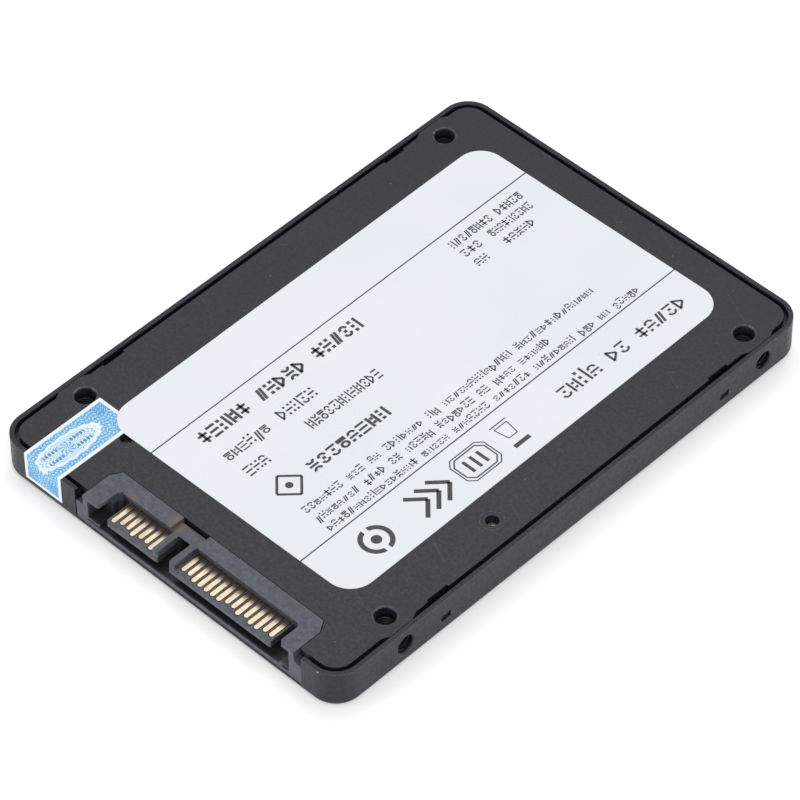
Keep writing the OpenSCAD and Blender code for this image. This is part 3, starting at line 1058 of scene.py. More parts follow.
@dataclass(frozen=True)
class BoardLaminate:
    """Circuit board: green mask over copper tracks, woven glass, tiny vias."""

    name: str
    core: tuple[Spot, Spot] = ((3.05, 3.1), (3.9, 3.95))
    track_depth: float = 0.02

    def make(self) -> Material:
        """Makes the material.

        Returns:
            The material.
        """
        r = Recipe(self.name)
        x, y, z = r.axes
        white, black = (1, 1, 1, 1), (0, 0, 0, 1)

        def tracks(turn: float, start: Place) -> Socket:
            """Long narrow runs of copper with the gaps of a brick wall.

            Args:
                turn: How far the runs are turned about z, in degrees.
                start: Where the pattern starts.

            Returns:
                White where there is copper, black in the gaps.
            """
            inputs = {
                "Vector": r.stretched((1, 1, 1), turn, start),
                "Color1": white, "Color2": white, "Mortar": black,
                "Scale": 1.0, "Mortar Size": 0.06, "Brick Width": 9.0, "Row Height": 0.42,
            }
            return r.add("ShaderNodeTexBrick", inputs).outputs["Color"]

        zone = r.ease(r.noise(0.11, 1.0), 0.47, 0.5)
        copper = r.mix(zone, tracks(0, (0, 0.2, 0)), tracks(90, (0.3, 0, 0)))
        pour = r.noise(0.16, 1.0, 0.5, r.stretched((1, 1, 1), 0, (11, 5, 2)))
        copper = r.mix(r.ease(pour, 0.5, 0.52), copper, white)
        flat = r.mix(copper, tone(8, 62, 42), tone(22, 104, 66))
        weave = r.times(*(r.calc("SINE", r.times(axis, 9.0)) for axis in (x, y)))
        flat = r.mix(r.ease(weave, 0.2, 1.0, 0.0, 0.12), flat, tone(70, 140, 100))
        via = r.cells(0.42)
        flat = r.mix(r.fall(via, 0.09, 0.11), flat, tone(196, 176, 120))
        flat = r.mix(r.fall(via, 0.045, 0.055), flat, tone(20, 22, 20))
        glass = r.mix(r.noise(2.5), tone(120, 112, 60), tone(160, 150, 90))
        colour = r.mix(r.band(z, *self.core), flat, glass)
        rough = r.around(r.noise(1.4), 0.33, 0.07, 0.07)
        return r.done(Base_Color=colour, Roughness=rough, Normal=r.bump(copper, self.track_depth))


@dataclass(frozen=True)
class PartBody:
    """Moulded or fired body of a small part: fine grain and a mottled tone."""

    name: str
    base: Rgba
    light: Rgba
    grain_per_mm: float = 7.0
    roughness: float = 0.55
    grain_depth: float = 0.012

    def make(self) -> Material:
        """Makes the material.

        Returns:
            The material.
        """
        r = Recipe(self.name)
        grain = r.noise(self.grain_per_mm, 3.0, 0.65)
        body = r.mix(r.ease(r.noise(0.4), 0.3, 0.75), self.base, self.light)
        body = r.mix(r.ease(grain, 0.56, 0.8, 0.0, 0.35), body, self.light)
        rough = r.around(grain, self.roughness, 0.06, 0.08)
        return r.done(Base_Color=body, Roughness=rough, Normal=r.bump(grain, self.grain_depth))


@dataclass(frozen=True)
class Finishes:
    """Every finish of the drive, each made once."""

    tray: Material
    cover: Material
    thread: Material
    connector: Material
    gold: Material
    brass: Material
    steel: Material
    tin: Material
    paper: Material
    ink: Material
    seal: Material
    board: Material
    silk: Material
    epoxy: Material
    ferrite: Material
    tantalum: Material
    ceramic: Material
    resistor: Material
    pad: Material

    @classmethod
    def make(cls) -> "Finishes":
        """Makes every finish.

        Returns:
            The finishes.
        """
        seal, contacts = Extent.of("seal_sticker"), Extent.of("power_contacts")
        seal_long = seal.size.y + seal.size.z
        recipes = {
            "tray": CasePlastic(
                "case_plastic", tone(20, 18, 31), recess_x=(34.5, 34.7),
                chips=(
                    ((31.2, -50.0, 6.75), 0.22),
                    ((34.2, 48.9, 7.0), 0.25),
                    ((-34.1, 20.0, 7.0), 0.16),
                ),
            ),
            "cover": CasePlastic(
                "cover_plastic", tone(28, 26, 37), hairline_turn=24.0,
                mouths=tuple((Case.face_x, row) for row in Case.hole_rows),
            ),
            # painted shade: the threads take the case plastic made far darker, for the shade inside
            # the mounting holes
            "thread": CasePlastic("thread_plastic", tone(6, 6, 7), roughness=0.5),
            "connector": ConnectorPlastic(
                "connector_resin", tone(62, 64, 76), tone(86, 89, 103), tone(116, 100, 78),
                (
                    ((-3.0, -43.6, 6.4), 2.2),
                    ((2.3, -44.2, 6.0), 1.2),
                    ((23.6, -46.6, 4.6), 2.0),
                    ((-11.0, -45.3, 6.5), 1.4),
                ),
            ),
            "gold": ContactMetal(
                "contact_gold", tone(211, 194, 166), tone(122, 98, 68),
                contacts.low.y + 2.3, contacts.low.y + 4.6,
            ),
            "brass": MachinedMetal(
                "case_screw_metal", tone(196, 172, 130), right_hand=tone(214, 208, 196)
            ),
            "steel": MachinedMetal("screw_steel", tone(186, 186, 190)),
            "tin": MachinedMetal("solder_tin", tone(204, 206, 208), 0.36, (3.0, 3.0, 3.0)),
            "paper": LabelPaper("label_film", tone(229, 233, 239), tone(224, 228, 235)),
            "ink": PrintInk("label_ink", tone(58, 58, 61), tone(92, 92, 96)),
            "seal": SealFilm(
                "seal_film", (seal.middle.x, seal.high.y - seal_long / 2),
                (seal.size.x / 2, seal_long / 2), seal.high.z,
            ),
            "board": BoardLaminate("board_laminate"),
            "silk": PrintInk("board_print", tone(226, 228, 222), tone(190, 196, 188)),
            "epoxy": PartBody("chip_epoxy", tone(34, 34, 36), tone(56, 56, 58)),
            "ferrite": PartBody("coil_ferrite", tone(66, 66, 68), tone(96, 96, 98), 5.0, 0.6),
            "tantalum": PartBody(
                "capacitor_resin", tone(214, 158, 44), tone(232, 184, 80), 6.0, 0.5
            ),
            "ceramic": PartBody(
                "capacitor_ceramic", tone(158, 118, 78), tone(186, 148, 108), 9.0, 0.45
            ),
            "resistor": PartBody("resistor_glaze", tone(26, 27, 30), tone(48, 50, 54), 6.0, 0.3),
            "pad": PartBody("thermal_rubber", tone(112, 142, 170), tone(140, 166, 190), 3.5, 0.72),
        }
        return cls(**{use: recipe.make() for use, recipe in recipes.items()})


# -------------------------------------------------------------------- stage


@dataclass
class Stage:
    """Camera, pale floor and soft studio light."""

    azimuth: float = 44.527
    elevation: float = 46.824
    roll: float = -0.586
    distance: float = 713.982
    lens: float = 216.43
    sensor: float = 36.0
    near: float = 0.05
    aim: Place = (0.0, 0.0, 3.5)
    slide: Spot = (0.840, 1.723)
    floor_size: float = 4.0
    floor_gap: float = 0.05
    floor_glow: float = 0.32
    sky: float = 0.54
    lamps: tuple[tuple[Place, float, float], ...] = (
        ((-0.30, 0.40, 1.00), 0.8, 3.7),
        ((0.55, -0.42, 0.95), 0.32, 3.0),
        ((1.05, 0.25, 0.42), 0.9, 2.2),
        ((-0.52, -0.95, 0.36), 0.8, 2.9),
    )

    def camera(self) -> None:
        """Puts the camera at the object's best known view."""
        a, e, r = (math.radians(d) for d in (self.azimuth, self.elevation, self.roll))
        back = Vector((math.sin(a) * math.cos(e), -math.cos(a) * math.cos(e), math.sin(e)))
        side = Vector((0, 0, 1)).cross(back).normalized()
        up = back.cross(side)
        right = math.cos(r) * side + math.sin(r) * up
        top = -math.sin(r) * side + math.cos(r) * up
        spot = Vector(self.aim) + self.distance * back
        spot -= self.slide[0] * right + self.slide[1] * top
        data = bpy.data.cameras.new("camera")
        data.lens, data.sensor_width, data.clip_start = self.lens, self.sensor, self.near
        camera = bpy.data.objects.new("camera", data)
        bpy.context.scene.collection.objects.link(camera)
        stand = Matrix((right, top, back)).transposed().to_4x4()
        stand.translation = spot * MM
        camera.matrix_world = stand
        bpy.context.scene.camera = camera

    def floor(self) -> None:
        """Lays the floor, with a barely visible mottling."""
        let_go()
        drop = (0, 0, -self.floor_gap * MM)
        bpy.ops.mesh.primitive_plane_add(size=self.floor_size, location=drop)
        floor = named("studio_floor")
        r = Recipe("floor_paper")
        shade = r.mix(r.noise(0.01), (0.80, 0.80, 0.805, 1), (0.82, 0.82, 0.82, 1))
        paper = r.done(
            Base_Color=shade, Roughness=0.9, Specular_IOR_Level=0.1,
            Emission_Color=(1, 1, 1, 1), Emission_Strength=self.floor_glow,
        )
        floor.data.materials.append(paper)

    def light(self) -> None:
        """Hangs a bright even sky and the soft lamps."""
        world = bpy.data.worlds.new("studio")
        world.use_nodes = True
        sky = world.node_tree.nodes["Background"]
        sky.inputs["Color"].default_value = (1.0, 1.0, 1.0, 1.0)
        sky.inputs["Strength"].default_value = self.sky
        bpy.context.scene.world = world
        for number, (spot, size, power) in enumerate(self.lamps):
            data = bpy.data.lights.new(f"softbox_{number}", "AREA")
            data.size, data.energy = size, power
            lamp = bpy.data.objects.new(data.name, data)
            bpy.context.scene.collection.objects.link(lamp)
            lamp.location = spot
            lamp.rotation_euler = (-Vector(spot)).to_track_quat("-Z", "Y").to_euler()
        bpy.context.scene.view_settings.view_transform = "Standard"

    def build(self) -> None:
        """Sets up the whole stage."""
        self.camera()
        self.floor()
        self.light()
        LOG.info("stage: camera, floor, %d lamps", len(self.lamps))


# --------------------------------------------------------------------- case


@dataclass
class Case:
    """Tray and cover plate, with the threads cut in the mounting holes."""

    finishes: Finishes
    tray_round: float = 0.10
    cover_round: float = 0.12
    screw_round: float = 0.05
    bore: float = 1.5
    tooth: float = 0.17
    tooth_gap: float = 0.01
    pitch: float = 0.5
    turn_steps: int = 18
    thread_smooth: float = math.radians(50)
    hole_rows: Spot = (-36.0, 40.6)
    face_x: float = 30.86
    face_z: Spot = (2.5, 5.7)
    side_x: Spot = (32.7, 34.75)
    side_z: float = 4.0

    def thread(self, length: float) -> Piece:
        """Cuts one thread: a tooth wound up an axis, with both ends closed.

        Args:
            length: How long the thread is, in mm.

        Returns:
            The thread, standing on the origin.
        """
        let_go()
        bpy.ops.mesh.primitive_circle_add(vertices=3, radius=self.tooth * MM, fill_type="NOTHING")
        thread = named("thread_master")
        for turn in ((0, 0, QUARTER), (QUARTER, 0, 0)):
            thread.rotation_euler = turn
            apply_place(thread)
        thread.location = ((self.bore - self.tooth_gap) * MM, 0, self.tooth * MM)
        apply_place(thread)
        apply_modifier(
            thread, "SCREW", axis="Z", screw_offset=self.pitch * MM,
            iterations=int((length - 2 * self.tooth) / self.pitch),
            steps=self.turn_steps, render_steps=self.turn_steps, use_normal_calculate=True,
        )
        with edit(thread, "VERT"):
            bpy.ops.mesh.remove_doubles(threshold=WELD / 10)
            bpy.ops.mesh.fill_holes(sides=4)
            bpy.ops.mesh.select_all(action="SELECT")
            bpy.ops.mesh.normals_make_consistent(inside=False)
        take(thread)
        bpy.ops.object.shade_smooth_by_angle(angle=self.thread_smooth)
        return thread

    def threads(self) -> None:
        """Puts a thread in each of the eight mounting holes."""
        upright = self.thread(self.face_z[1] - self.face_z[0])
        sideways = self.thread(self.side_x[1] - self.side_x[0])
        wound: list[Piece] = []
        for hand in (-1, 1):
            lay = Matrix.Rotation(hand * QUARTER, 4, "Y")
            for row in self.hole_rows:
                wound.append(copy_of(upright, shift((hand * self.face_x, row, self.face_z[0]))))
                spot = shift((hand * self.side_x[0], row, self.side_z))
                wound.append(copy_of(sideways, spot @ lay))
        throw_away([upright, sideways])
        fit_out(merge("mount_threads", wound), Body.SHELL, self.finishes.thread, "outer_shell")

    def build(self) -> None:
        """Builds the tray, the cover plate, the threads and the case screws."""
        f = self.finishes
        tray = moulding_from("outer_shell", "case_tray", self.tray_round)
        fit_out(tray, Body.SHELL, f.tray, "outer_shell")
        cover = moulding_from("base_cover", "cover_plate", self.cover_round)
        fit_out(cover, Body.COVER, f.cover, "base_cover")
        self.threads()
        heads = moulding_from("case_screws", "case_screw_heads", self.screw_round)
        fit_out(heads, Body.COVER, f.brass, "case_screws")


# -------------------------------------------------------------- printed marks


class Sign(Enum):
    """Plain strokes that stand in for lettering; none of them is a letter."""

    SPLIT_RING = 0
    CUP = 1
    TWIN_STEMS = 2
    STEM_AND_DOTS = 3
    ARROW = 4
    THREE_BARS = 5
    DOUBLE_CROSS = 6
    ARCH = 7
    HOURGLASS = 8
    TWO_SLANTS = 9
    LOW_RING = 10
    FOUR_DOTS = 11


@dataclass(frozen=True)
class TextLine:
    """One line of stand-in print: its foot, height, ends and word lengths."""

    foot: float
    height: float
    start: float
    end: float
    words: tuple[int, ...]
    bold: bool = False
    small: bool = False


@dataclass
class SignSet:
    """The twelve signs, one unit high and one unit thick, ready to copy."""

    pen: float = 0.15
    width: float = 0.62
    sides: int = 12
    fill: float = 0.84
    short: float = 0.74
    tail: float = 0.26
    tail_chance: float = 0.12
    masters: list[Piece] = field(default_factory=list)

    def bar(self, x: float, y: float, x_end: float, y_end: float) -> Piece:
        """A straight stroke of the pen."""
        return stroke((x, y), (x_end, y_end), self.pen, 0.0, 1.0)

    def dot(self, x: float, y: float) -> Piece:
        """A square dot, a little wider than the pen."""
        half = self.pen * 0.62
        return block((x - half, y - half, 0), (x + half, y + half, 1))

    def arc(self, y: float, away: Place | None = None) -> Piece:
        """A ring as wide as a sign, less what lies to one side of its middle.

        Args:
            y: The height of its middle.
            away: The side that is thrown away, if any.

        Returns:
            The arc.
        """
        half = self.width / 2
        ring = hoop((half, y, 0), half - self.pen, half, 1.0, self.sides)
        return ring if away is None else trim(ring, (half, y, 0), away)

    def strokes(self, sign: Sign) -> list[Piece]:
        """Draws one sign.

        Args:
            sign: Which sign.

        Returns:
            Its strokes, not yet joined.
        """
        bar, dot, arc, w = self.bar, self.dot, self.arc, self.width
        half, near, far, ceiling = w / 2, self.pen / 2, w - self.pen / 2, 1 - self.pen / 2
        down, up = (0, -1, 0), (0, 1, 0)
        match sign:
            case Sign.SPLIT_RING:
                return [arc(1 - half, down), arc(half, up), dot(half, 0.5)]
            case Sign.CUP:
                return [arc(half, up), dot(half, 0.56), bar(0, ceiling, w, ceiling)]
            case Sign.TWIN_STEMS:
                stems = [bar(x, 0, x, 1) for x in (near, far)]
                return [*stems, dot(half, 0.3), dot(half, 0.7)]
            case Sign.STEM_AND_DOTS:
                return [bar(far, 0, far, 1), *(dot(0.14, y) for y in (0.12, 0.5, 0.88))]
            case Sign.ARROW:
                head = [bar(0.1, 0.92, far, 0.5), bar(far, 0.5, 0.1, 0.08)]
                return [bar(near, 0, near, 1), *head]
            case Sign.THREE_BARS:
                return [bar(0, y, w, y) for y in (near, 0.5, ceiling)]
            case Sign.DOUBLE_CROSS:
                return [bar(half, 0, half, 1), bar(0, 0.3, w, 0.3), bar(0, 0.7, w, 0.7)]
            case Sign.ARCH:
                feet = [dot(near, 0.12), dot(far, 0.12)]
                return [arc(1 - half, down), bar(0, 0.44, w, 0.44), *feet]
            case Sign.HOURGLASS:
                return [arc(1, up), arc(0, down), bar(0, 0.5, w, 0.5)]
            case Sign.TWO_SLANTS:
                return [bar(near, 0.03, half, 0.97), bar(half, 0.03, far, 0.97)]
            case Sign.LOW_RING:
                return [arc(half), bar(0, ceiling, w, ceiling), bar(0, 0.74, w, 0.74)]
            case _:
                dots = [dot(x, y) for x in (near + 0.02, far - 0.02) for y in (0.14, 0.86)]
                return [bar(0, 0.5, w, 0.5), *dots]

    def build(self) -> "SignSet":
        """Makes all masters.

        Returns:
            The set itself.
        """
        for sign in Sign:
            self.masters.append(merge(f"sign_{sign.value}", self.strokes(sign)))
        return self

    def write(self, line: TextLine, low: float, thick: float, rng: random.Random) -> list[Piece]:
        """Sets one line of signs, reading along y with its top towards -x.

        Args:
            line: The line.
            low: The underside of the ink, in mm.
            thick: The thickness of the ink, in mm.
            rng: The source of the signs' order.

        Returns:
            The signs, not yet joined.
        """
        count = sum(line.words) + len(line.words) - 1
        step = (line.end - line.start) / max(count, 1)
        wide = step * self.fill / self.width
        turn = Matrix.Rotation(QUARTER, 4, "Z")
        made: list[Piece] = []
        at, last = 0, -1
        for word in line.words:
            for _ in range(word):
                choice = rng.randrange(len(self.masters))
                choice = (choice + 1) % len(self.masters) if choice == last else choice
                last = choice
                tall, drop = line.height, 0.0
                if line.small:
                    tall *= rng.choice((self.short, self.short, 1.0))
                    if tall < line.height and rng.random() < self.tail_chance:
                        drop = self.tail * line.height
                grow = Matrix.Diagonal((wide, tall + drop, thick, 1.0))
                spot = shift((line.foot + drop, line.start + at * step, low))
                made.append(copy_of(self.masters[choice], spot @ turn @ grow))
                at += 1
            at += 1
        return made


@dataclass
class Label:
    """The data label: film, two rules, stand-in print and plain marks."""

    finishes: Finishes
    turn: float = math.radians(0.40)
    ink_depth: float = 0.012
    sink: float = 0.008
    seed: int = 41
    bold_pen: float = 0.18
    rule_x: Spot = (-15.72, 14.80)
    rule_width: float = 0.22
    rule_inset: float = 0.06
    mark_x: float = 19.8
    notice_at: Spot = (3.35, -27.9)
    target_y: float = -26.8
    chevron_y: float = -18.7
    badge_y: float = -6.0
    crate_at: Spot = (18.9, 1.6)
    lines: tuple[TextLine, ...] = (
        TextLine(-10.98, 2.55, -30.5, 3.0, (5, 5, 5), True),
        TextLine(-6.15, 2.2, -30.5, -21.6, (6,), small=True),
        TextLine(-6.15, 2.2, -19.3, -11.8, (5,)),
        TextLine(-1.85, 2.0, -30.5, -26.0, (3,)),
        TextLine(-1.85, 2.0, -17.6, -2.5, (12,)),
        TextLine(-12.30, 1.65, 23.6, 39.4, (8, 5)),
        TextLine(-9.75, 1.6, 23.6, 27.6, (3,)),
        TextLine(-9.75, 1.6, 29.6, 38.9, (9,)),
        TextLine(-7.05, 1.55, 23.6, 26.3, (2,)),
        TextLine(-7.05, 1.55, 30.0, 36.6, (5,)),
        TextLine(4.35, 2.2, -23.5, -7.1, (8,), True),
        TextLine(9.15, 1.42, -30.1, 31.6, (7, 3, 2, 7, 2, 13, 15), small=True),
        TextLine(11.60, 1.42, -30.1, 19.5, (8, 4, 2, 5, 7, 2, 4, 6), small=True),
        TextLine(13.95, 1.42, -30.1, 36.6, (17, 5, 7, 7, 8, 3, 2, 5), small=True),
        TextLine(21.1, 3.1, 12.2, 39.7, (4, 2, 5), small=True),
    )

    def __post_init__(self) -> None:
        """Reads where the label lies."""
        self.extent = Extent.of("product_label")
        self.low = self.extent.high.z - self.sink
        self.thick = self.sink + self.ink_depth
        self.ink_z = (self.low, self.low + self.thick)

    def rules(self) -> list[Piece]:
        """The two rules that run the length of the label.

        Returns:
            Both rules.
        """
        half, y = self.extent.size.y / 2 - self.rule_inset, self.extent.middle.y
        ends = [((x, y - half), (x, y + half)) for x in self.rule_x]
        return [stroke(a, b, self.rule_width, *self.ink_z) for a, b in ends]

    def notice(self) -> list[Piece]:
        """A plain diamond with a dot, at the head of the small print.

        Returns:
            Its strokes and the dot.
        """
        (x, y), half = self.notice_at, 2.55
        diamond = [(x - half, y), (x, y + half), (x + half, y), (x, y - half)]
        dot = disc((x, y, self.low), 0.62, self.thick, 16)
        return [*outline(diamond, 0.42, *self.ink_z), dot]

    def target(self) -> list[Piece]:
        """A ring cut through its middle, round a dot.

        Returns:
            Both halves of the ring and the dot.
        """
        x, y, gap = self.mark_x, self.target_y, 0.45
        halves: list[Piece] = []
        for hand in (1, -1):
            ring = hoop((x, y, self.low), 1.95, 2.75, self.thick, 40)
            halves.append(trim(ring, (x, y - hand * gap, 0), (0, hand, 0)))
        return [*halves, disc((x, y, self.low), 0.85, self.thick, 24)]

    def chevrons(self) -> list[Piece]:
        """Three nested chevrons.

        Returns:
            Their limbs.
        """
        x, reach, rise, pitch = self.mark_x, 2.5, 2.6, 2.3
        made: list[Piece] = []
        for y in (self.chevron_y + pitch * number for number in range(3)):
            for foot in (x - reach, x + reach):
                made.append(stroke((foot, y), (x, y + rise), 0.72, *self.ink_z))
        return made

    def badge(self) -> list[Piece]:
        """Two thin eight-sided frames round three bars.

        Returns:
            The frames' strokes and the bars.
        """
        x, y, cut = self.mark_x, self.badge_y, 1.0
        made: list[Piece] = []
        for half_x, half_y, width in ((2.75, 3.6, 0.2), (2.3, 3.15, 0.24)):
            side, end = half_x - cut, half_y - cut
            ring = [
                (-half_x, -end), (-half_x, end), (-side, half_y), (side, half_y),
                (half_x, end), (half_x, -end), (side, -half_y), (-side, -half_y),
            ]
            made += outline([(x + dx, y + dy) for dx, dy in ring], width, *self.ink_z)
        for bar_y in (y - 1.45, y, y + 1.45):
            made.append(stroke((x - 1.3, bar_y), (x + 1.3, bar_y), 0.55, *self.ink_z))
        return made

    def crate(self) -> list[Piece]:
        """A small open box in thin line, with a lid, over a solid bar.

        Returns:
            The box's strokes, the bar and the lid.
        """
        (x, y), half, foot = self.crate_at, 1.3, 0.9
        top, bottom = x - half, x + half
        box = [(top, y - half), (top, y + half), (bottom, y + foot), (bottom, y - foot)]
        base, lid = (
            stroke((x + step, y - reach), (x + step, y + reach), width, *self.ink_z)
            for step, reach, width in ((3.1, 1.6, 0.75), (-1.9, 1.7, 0.2))
        )
        return [*outline(box, 0.18, *self.ink_z), base, lid]

    def text(self) -> list[Piece]:
        """All lines of stand-in print.

        Returns:
            The signs, not yet joined.
        """
        rng = random.Random(self.seed)
        plain, bold = SignSet().build(), SignSet(pen=self.bold_pen).build()
        made: list[Piece] = []
        for line in self.lines:
            made += (bold if line.bold else plain).write(line, self.low, self.thick, rng)
        throw_away([*plain.masters, *bold.masters])
        return made

    def build(self) -> None:
        """Finishes the film, prints on it and turns the print with it."""
        dress_node("product_label", self.finishes.paper)
        text = self.text()
        marks = [*self.notice(), *self.target(), *self.chevrons(), *self.badge(), *self.crate()]
        pivot = self.extent.middle
        swing = Matrix.Rotation(self.turn, 4, "Z")
        place = shift((pivot.x, pivot.y, 0)) @ swing @ shift((-pivot.x, -pivot.y, 0))
        prints = {"label_text": text, "label_marks": marks, "label_rules": self.rules()}
        for name, group in prints.items():
            piece = merge(name, group)
            piece.data.transform(place)
            fit_out(piece, Body.COVER, self.finishes.ink, "product_label")
        dress_node("seal_sticker", self.finishes.seal)


# ---------------------------------------------------------------- connector


@dataclass
class Connector:
    """Connector body with its two rows of contacts and its lock pins."""

    finishes: Finishes
    body_round: float = 0.085
    contact_round: tuple[float, int] = (0.075, 3)
    pin_round: float = 0.06

    def build(self) -> None:
        """Builds the body, the contacts and the pins."""
        f = self.finishes
        for node, name, rounding, finish in (
            ("connector_housing", "connector_body", (self.body_round,), f.connector),
            ("signal_contacts", "data_contacts", self.contact_round, f.gold),
            ("power_contacts", "supply_contacts", self.contact_round, f.gold),
            ("board_locks", "lock_pins", (self.pin_round,), f.tin),
        ):
            fit_out(moulding_from(node, name, *rounding), Body.SHELL, finish, node)


# -------------------------------------------------------------------- board


@dataclass(frozen=True)
class Package:
    """One kind of black package: its node, its new name and its print."""

    node: str
    name: str
    lines: int
    rounding: float = 0.08


@dataclass
class CircuitBoard:
    """The board and all that is soldered to it."""

    finishes: Finishes
    packages: tuple[Package, ...] = (
        Package("controller_chip", "controller", 3),
        Package("buffer_chip", "buffer_memory", 3),
        Package("flash_chip_1", "flash_memory_1", 4),
        Package("flash_chip_2", "flash_memory_2", 4),
        Package("flash_chip_3", "flash_memory_3", 0),
        Package("flash_chip_4", "flash_memory_4", 0),
        Package("firmware_chip", "firmware_memory", 2, 0.06),
        Package("regulator_chip", "regulator", 2, 0.06),
    )
    board_round: float = 0.05
    film: float = 0.012
    sink: float = 0.004
    print_seed: int = 7
    frame_gap: float = 0.35
    frame_pen: float = 0.14
    land: Spot = (1.3, 2.5)
    land_clear: float = 3.0
    via: Spot = (0.14, 0.30)
    via_seed: int = 23
    copper_count: int = 70
    part_clear: float = 0.6
    cap_round: float = 0.12
    leg_pitch: float = 1.15
    leg_count: int = 4

    def __post_init__(self) -> None:
        """Reads where the board and its screws lie."""
        self.board = Extent.of("circuit_board")
        self.face = self.board.high.z - self.sink
        self.screws = solids_of("board_screws")

    def fit(self, piece: Piece, finish: Material, slot: str) -> None:
        """Finishes a piece of the board; all of them ride on the shell."""
        fit_out(piece, Body.SHELL, finish, slot)

    def chips(self) -> None:
        """The black packages with their laser print and first-pin dots."""
        signs = SignSet().build()
        rng = random.Random(self.print_seed)
        marks: list[Piece] = []
        for package in self.packages:
            body = moulding_from(package.node, package.name, package.rounding)
            self.fit(body, self.finishes.epoxy, package.node)
            if not package.lines:
                continue
            place = Extent.of(package.node)
            top, size, middle = place.high.z - self.sink, place.size, place.middle
            dot = (place.low.x + 0.12 * size.x, place.low.y + 0.09 * size.y, top)
            marks.append(disc(dot, 0.05 * min(size.x, size.y), self.film, 16))
            tall = min(size.x / (package.lines + 3.2), 1.5)
            for number in range(package.lines):
                foot = middle.x + (number - package.lines / 2 + 0.9) * tall * 1.45
                reach = size.y * (0.34 if number % 2 else 0.28)
                count = max(3, int(reach * 2 / (tall * 0.8)))
                line = TextLine(foot, tall, middle.y - reach, middle.y + reach, (count,))
                marks += signs.write(line, top, self.film, rng)
        throw_away(signs.masters)
        self.fit(merge("package_print", marks), self.finishes.silk, "controller_chip")

    def frames(self) -> None:
        """Printed frames on the board round the packages on its upper side."""
        made: list[Piece] = []
        gap = Vector((self.frame_gap, self.frame_gap, 0))
        for place in (Extent.of(package.node) for package in self.packages):
            if place.middle.z > self.face:
                a, b = place.low - gap, place.high + gap
                corners = [(a.x, a.y), (a.x, b.y), (b.x, b.y), (b.x, a.y)]
                made += outline(corners, self.frame_pen, self.face, self.face + self.film)
        self.fit(merge("board_outlines", made), self.finishes.silk, "circuit_board")

    def copper(self) -> None:
        """Bare copper: a ring round each screw, and plated through holes."""
        spots = [(s.middle.x, s.middle.y, self.face) for s in self.screws]
        made = [hoop(spot, *self.land, self.film, 32) for spot in spots]
        master = hoop((0, 0, 0), *self.via, self.film, 12)
        taken = [Extent.of(n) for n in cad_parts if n.endswith("_chip") or "flash_chip" in n]
        for node in (
            "supply_capacitors", "power_coils", "ceramic_capacitors", "chip_resistors",
            "clock_crystal",
        ):
            taken += solids_of(node)
        low, high = self.board.low, self.board.high
        rng = random.Random(self.via_seed)
        while len(made) < self.copper_count:
            x = rng.uniform(low.x + 1.5, high.x - 1.5)
            y = rng.uniform(low.y + 3.0, high.y - 1.5)
            if any(solid.covers(x, y, self.part_clear) for solid in taken):
                continue
            if any(math.dist((x, y), spot[:2]) < self.land_clear for spot in spots):
                continue
            made.append(copy_of(master, shift((x, y, self.face))))
        throw_away([master])
        self.fit(merge("board_lands", made), self.finishes.gold, "circuit_board")

    def ends(self, node: str, name: str, share: float, proud: float) -> None:
        """Puts a tinned cap on both ends of every small part of a node.

        Args:
            node: The CAD node.
            name: The new piece's name.
            share: Length of a cap, as a share of the part's length.
            proud: How far the cap stands out from the part, in mm.
        """
        master = block((-0.5, -0.5, -0.5), (0.5, 0.5, 0.5))
        with edit(master, "EDGE", "DESELECT"):
            pick_edges(master, lambda middle: middle.z > 0.0)
            bpy.ops.mesh.bevel(offset=self.cap_round * MM, segments=2)
        made: list[Piece] = []
        for solid in solids_of(node):
            axis = 0 if solid.size.x > solid.size.y else 1
            for hand in (-1, 1):
                size = solid.size + Vector((2 * proud,) * 3)
                size[axis] = solid.size[axis] * share
                middle = solid.middle.copy()
                middle[axis] += hand * (solid.size[axis] * (1 - share) / 2 + proud)
                middle.z = max(middle.z, solid.low.z + size.z / 2)
                made.append(copy_of(master, shift(middle) @ Matrix.Diagonal((*size, 1.0))))
        throw_away([master])
        piece = merge(name, made)
        bpy.ops.object.shade_smooth_by_angle(angle=math.radians(35))
        self.fit(piece, self.finishes.tin, node)

    def small_parts(self) -> None:
        """Capacitors, resistors, coils, crystal, screws and the thermal pad."""
        f = self.finishes
        for node, name, rounding, finish in (
            ("ceramic_capacitors", "ceramic_bodies", 0.04, f.ceramic),
            ("chip_resistors", "resistor_bodies", 0.03, f.resistor),
            ("supply_capacitors", "tantalum_bodies", 0.12, f.tantalum),
            ("power_coils", "coil_bodies", 0.18, f.ferrite),
            ("clock_crystal", "crystal_can", 0.12, f.steel),
            ("board_screws", "board_screw_heads", 0.06, f.steel),
            ("thermal_pad", "thermal_rubber_pad", 0.12, f.pad),
        ):
            self.fit(moulding_from(node, name, rounding), finish, node)
        self.ends("ceramic_capacitors", "ceramic_ends", 0.24, 0.015)
        self.ends("chip_resistors", "resistor_ends", 0.2, 0.012)
        self.ends("supply_capacitors", "tantalum_ends", 0.1, 0.03)

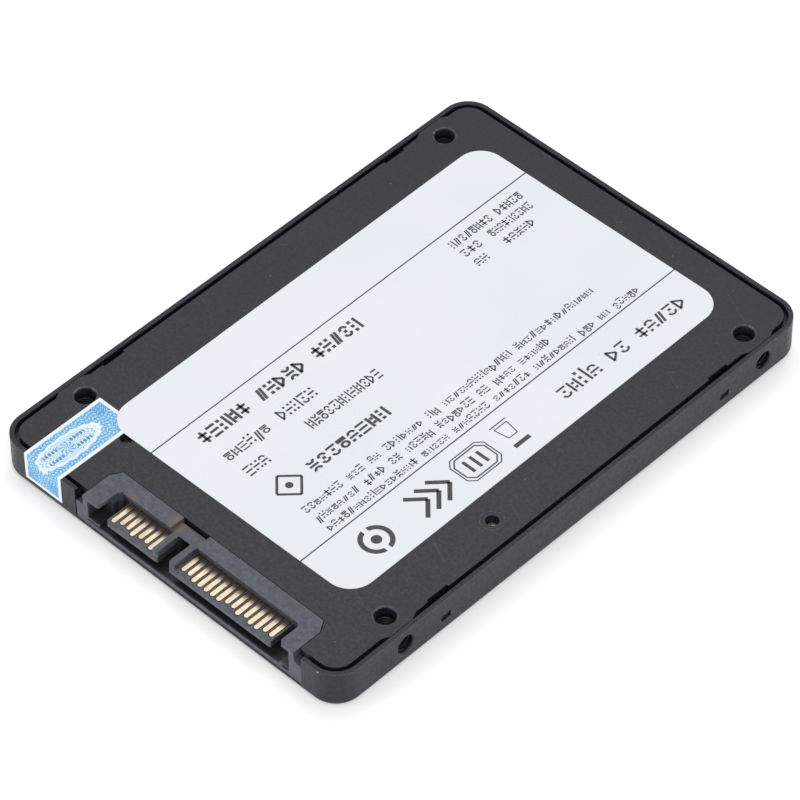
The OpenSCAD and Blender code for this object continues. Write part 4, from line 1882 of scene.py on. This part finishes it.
    def tops(self) -> None:
        """Dark bars on the supply capacitors and the wound rings on the coils."""
        bars: list[Piece] = []
        rings: list[Piece] = []
        for s in solids_of("supply_capacitors"):
            start = s.low.x + 0.2 * s.size.x
            low = (start, s.low.y + 0.25, s.high.z - self.sink)
            bars.append(block(low, (start + 0.8, s.high.y - 0.25, s.high.z + self.film)))
        self.fit(merge("polarity_bars", bars), self.finishes.ink, "supply_capacitors")
        for s in solids_of("power_coils"):
            spot = (s.middle.x, s.middle.y, s.high.z - self.sink)
            rings += [hoop(spot, 1.15, 1.35, 0.03, 32), disc(spot, 0.55, 0.03, 24)]
        self.fit(merge("coil_rings", rings), self.finishes.epoxy, "power_coils")

    def legs(self) -> None:
        """Bent legs on both long sides of the firmware memory."""
        chip = Extent.of("firmware_chip")
        leg = block((0, -0.19, 0.42), (0.34, 0.19, 0.56))
        with edit(leg, action="DESELECT"):
            pick_faces(leg, lambda normal: normal.x > 0.9)
            for step in ((0.16 * MM, 0, -0.42 * MM), (0.36 * MM, 0, 0)):
                bpy.ops.mesh.extrude_region_move(TRANSFORM_OT_translate={"value": step})
        round_edges(leg, 0.03, 1)
        made: list[Piece] = []
        for hand, side in ((-1, chip.low.y), (1, chip.high.y)):
            turn = Matrix.Rotation(hand * QUARTER, 4, "Z")
            for number in range(self.leg_count):
                x = chip.middle.x + (number - (self.leg_count - 1) / 2) * self.leg_pitch
                spot = shift((x, side - hand * 0.05, self.board.high.z))
                made.append(copy_of(leg, spot @ turn))
        throw_away([leg])
        self.fit(merge("firmware_legs", made), self.finishes.tin, "firmware_chip")

    def build(self) -> None:
        """Builds the board with its parts."""
        bare = moulding_from("circuit_board", "board", self.board_round)
        self.fit(bare, self.finishes.board, "circuit_board")
        self.chips()
        self.frames()
        self.copper()
        self.small_parts()
        self.tops()
        self.legs()


def main() -> None:
    """Builds the drive in order, from the stage to the board."""
    logging.basicConfig(level=logging.INFO, format="%(name)s: %(message)s")
    Stage().build()
    finishes = Finishes.make()
    for part in (Case, Label, Connector, CircuitBoard):
        part(finishes).build()
        LOG.info("%s: built", part.__name__)


if __name__ == "__main__":
    main()
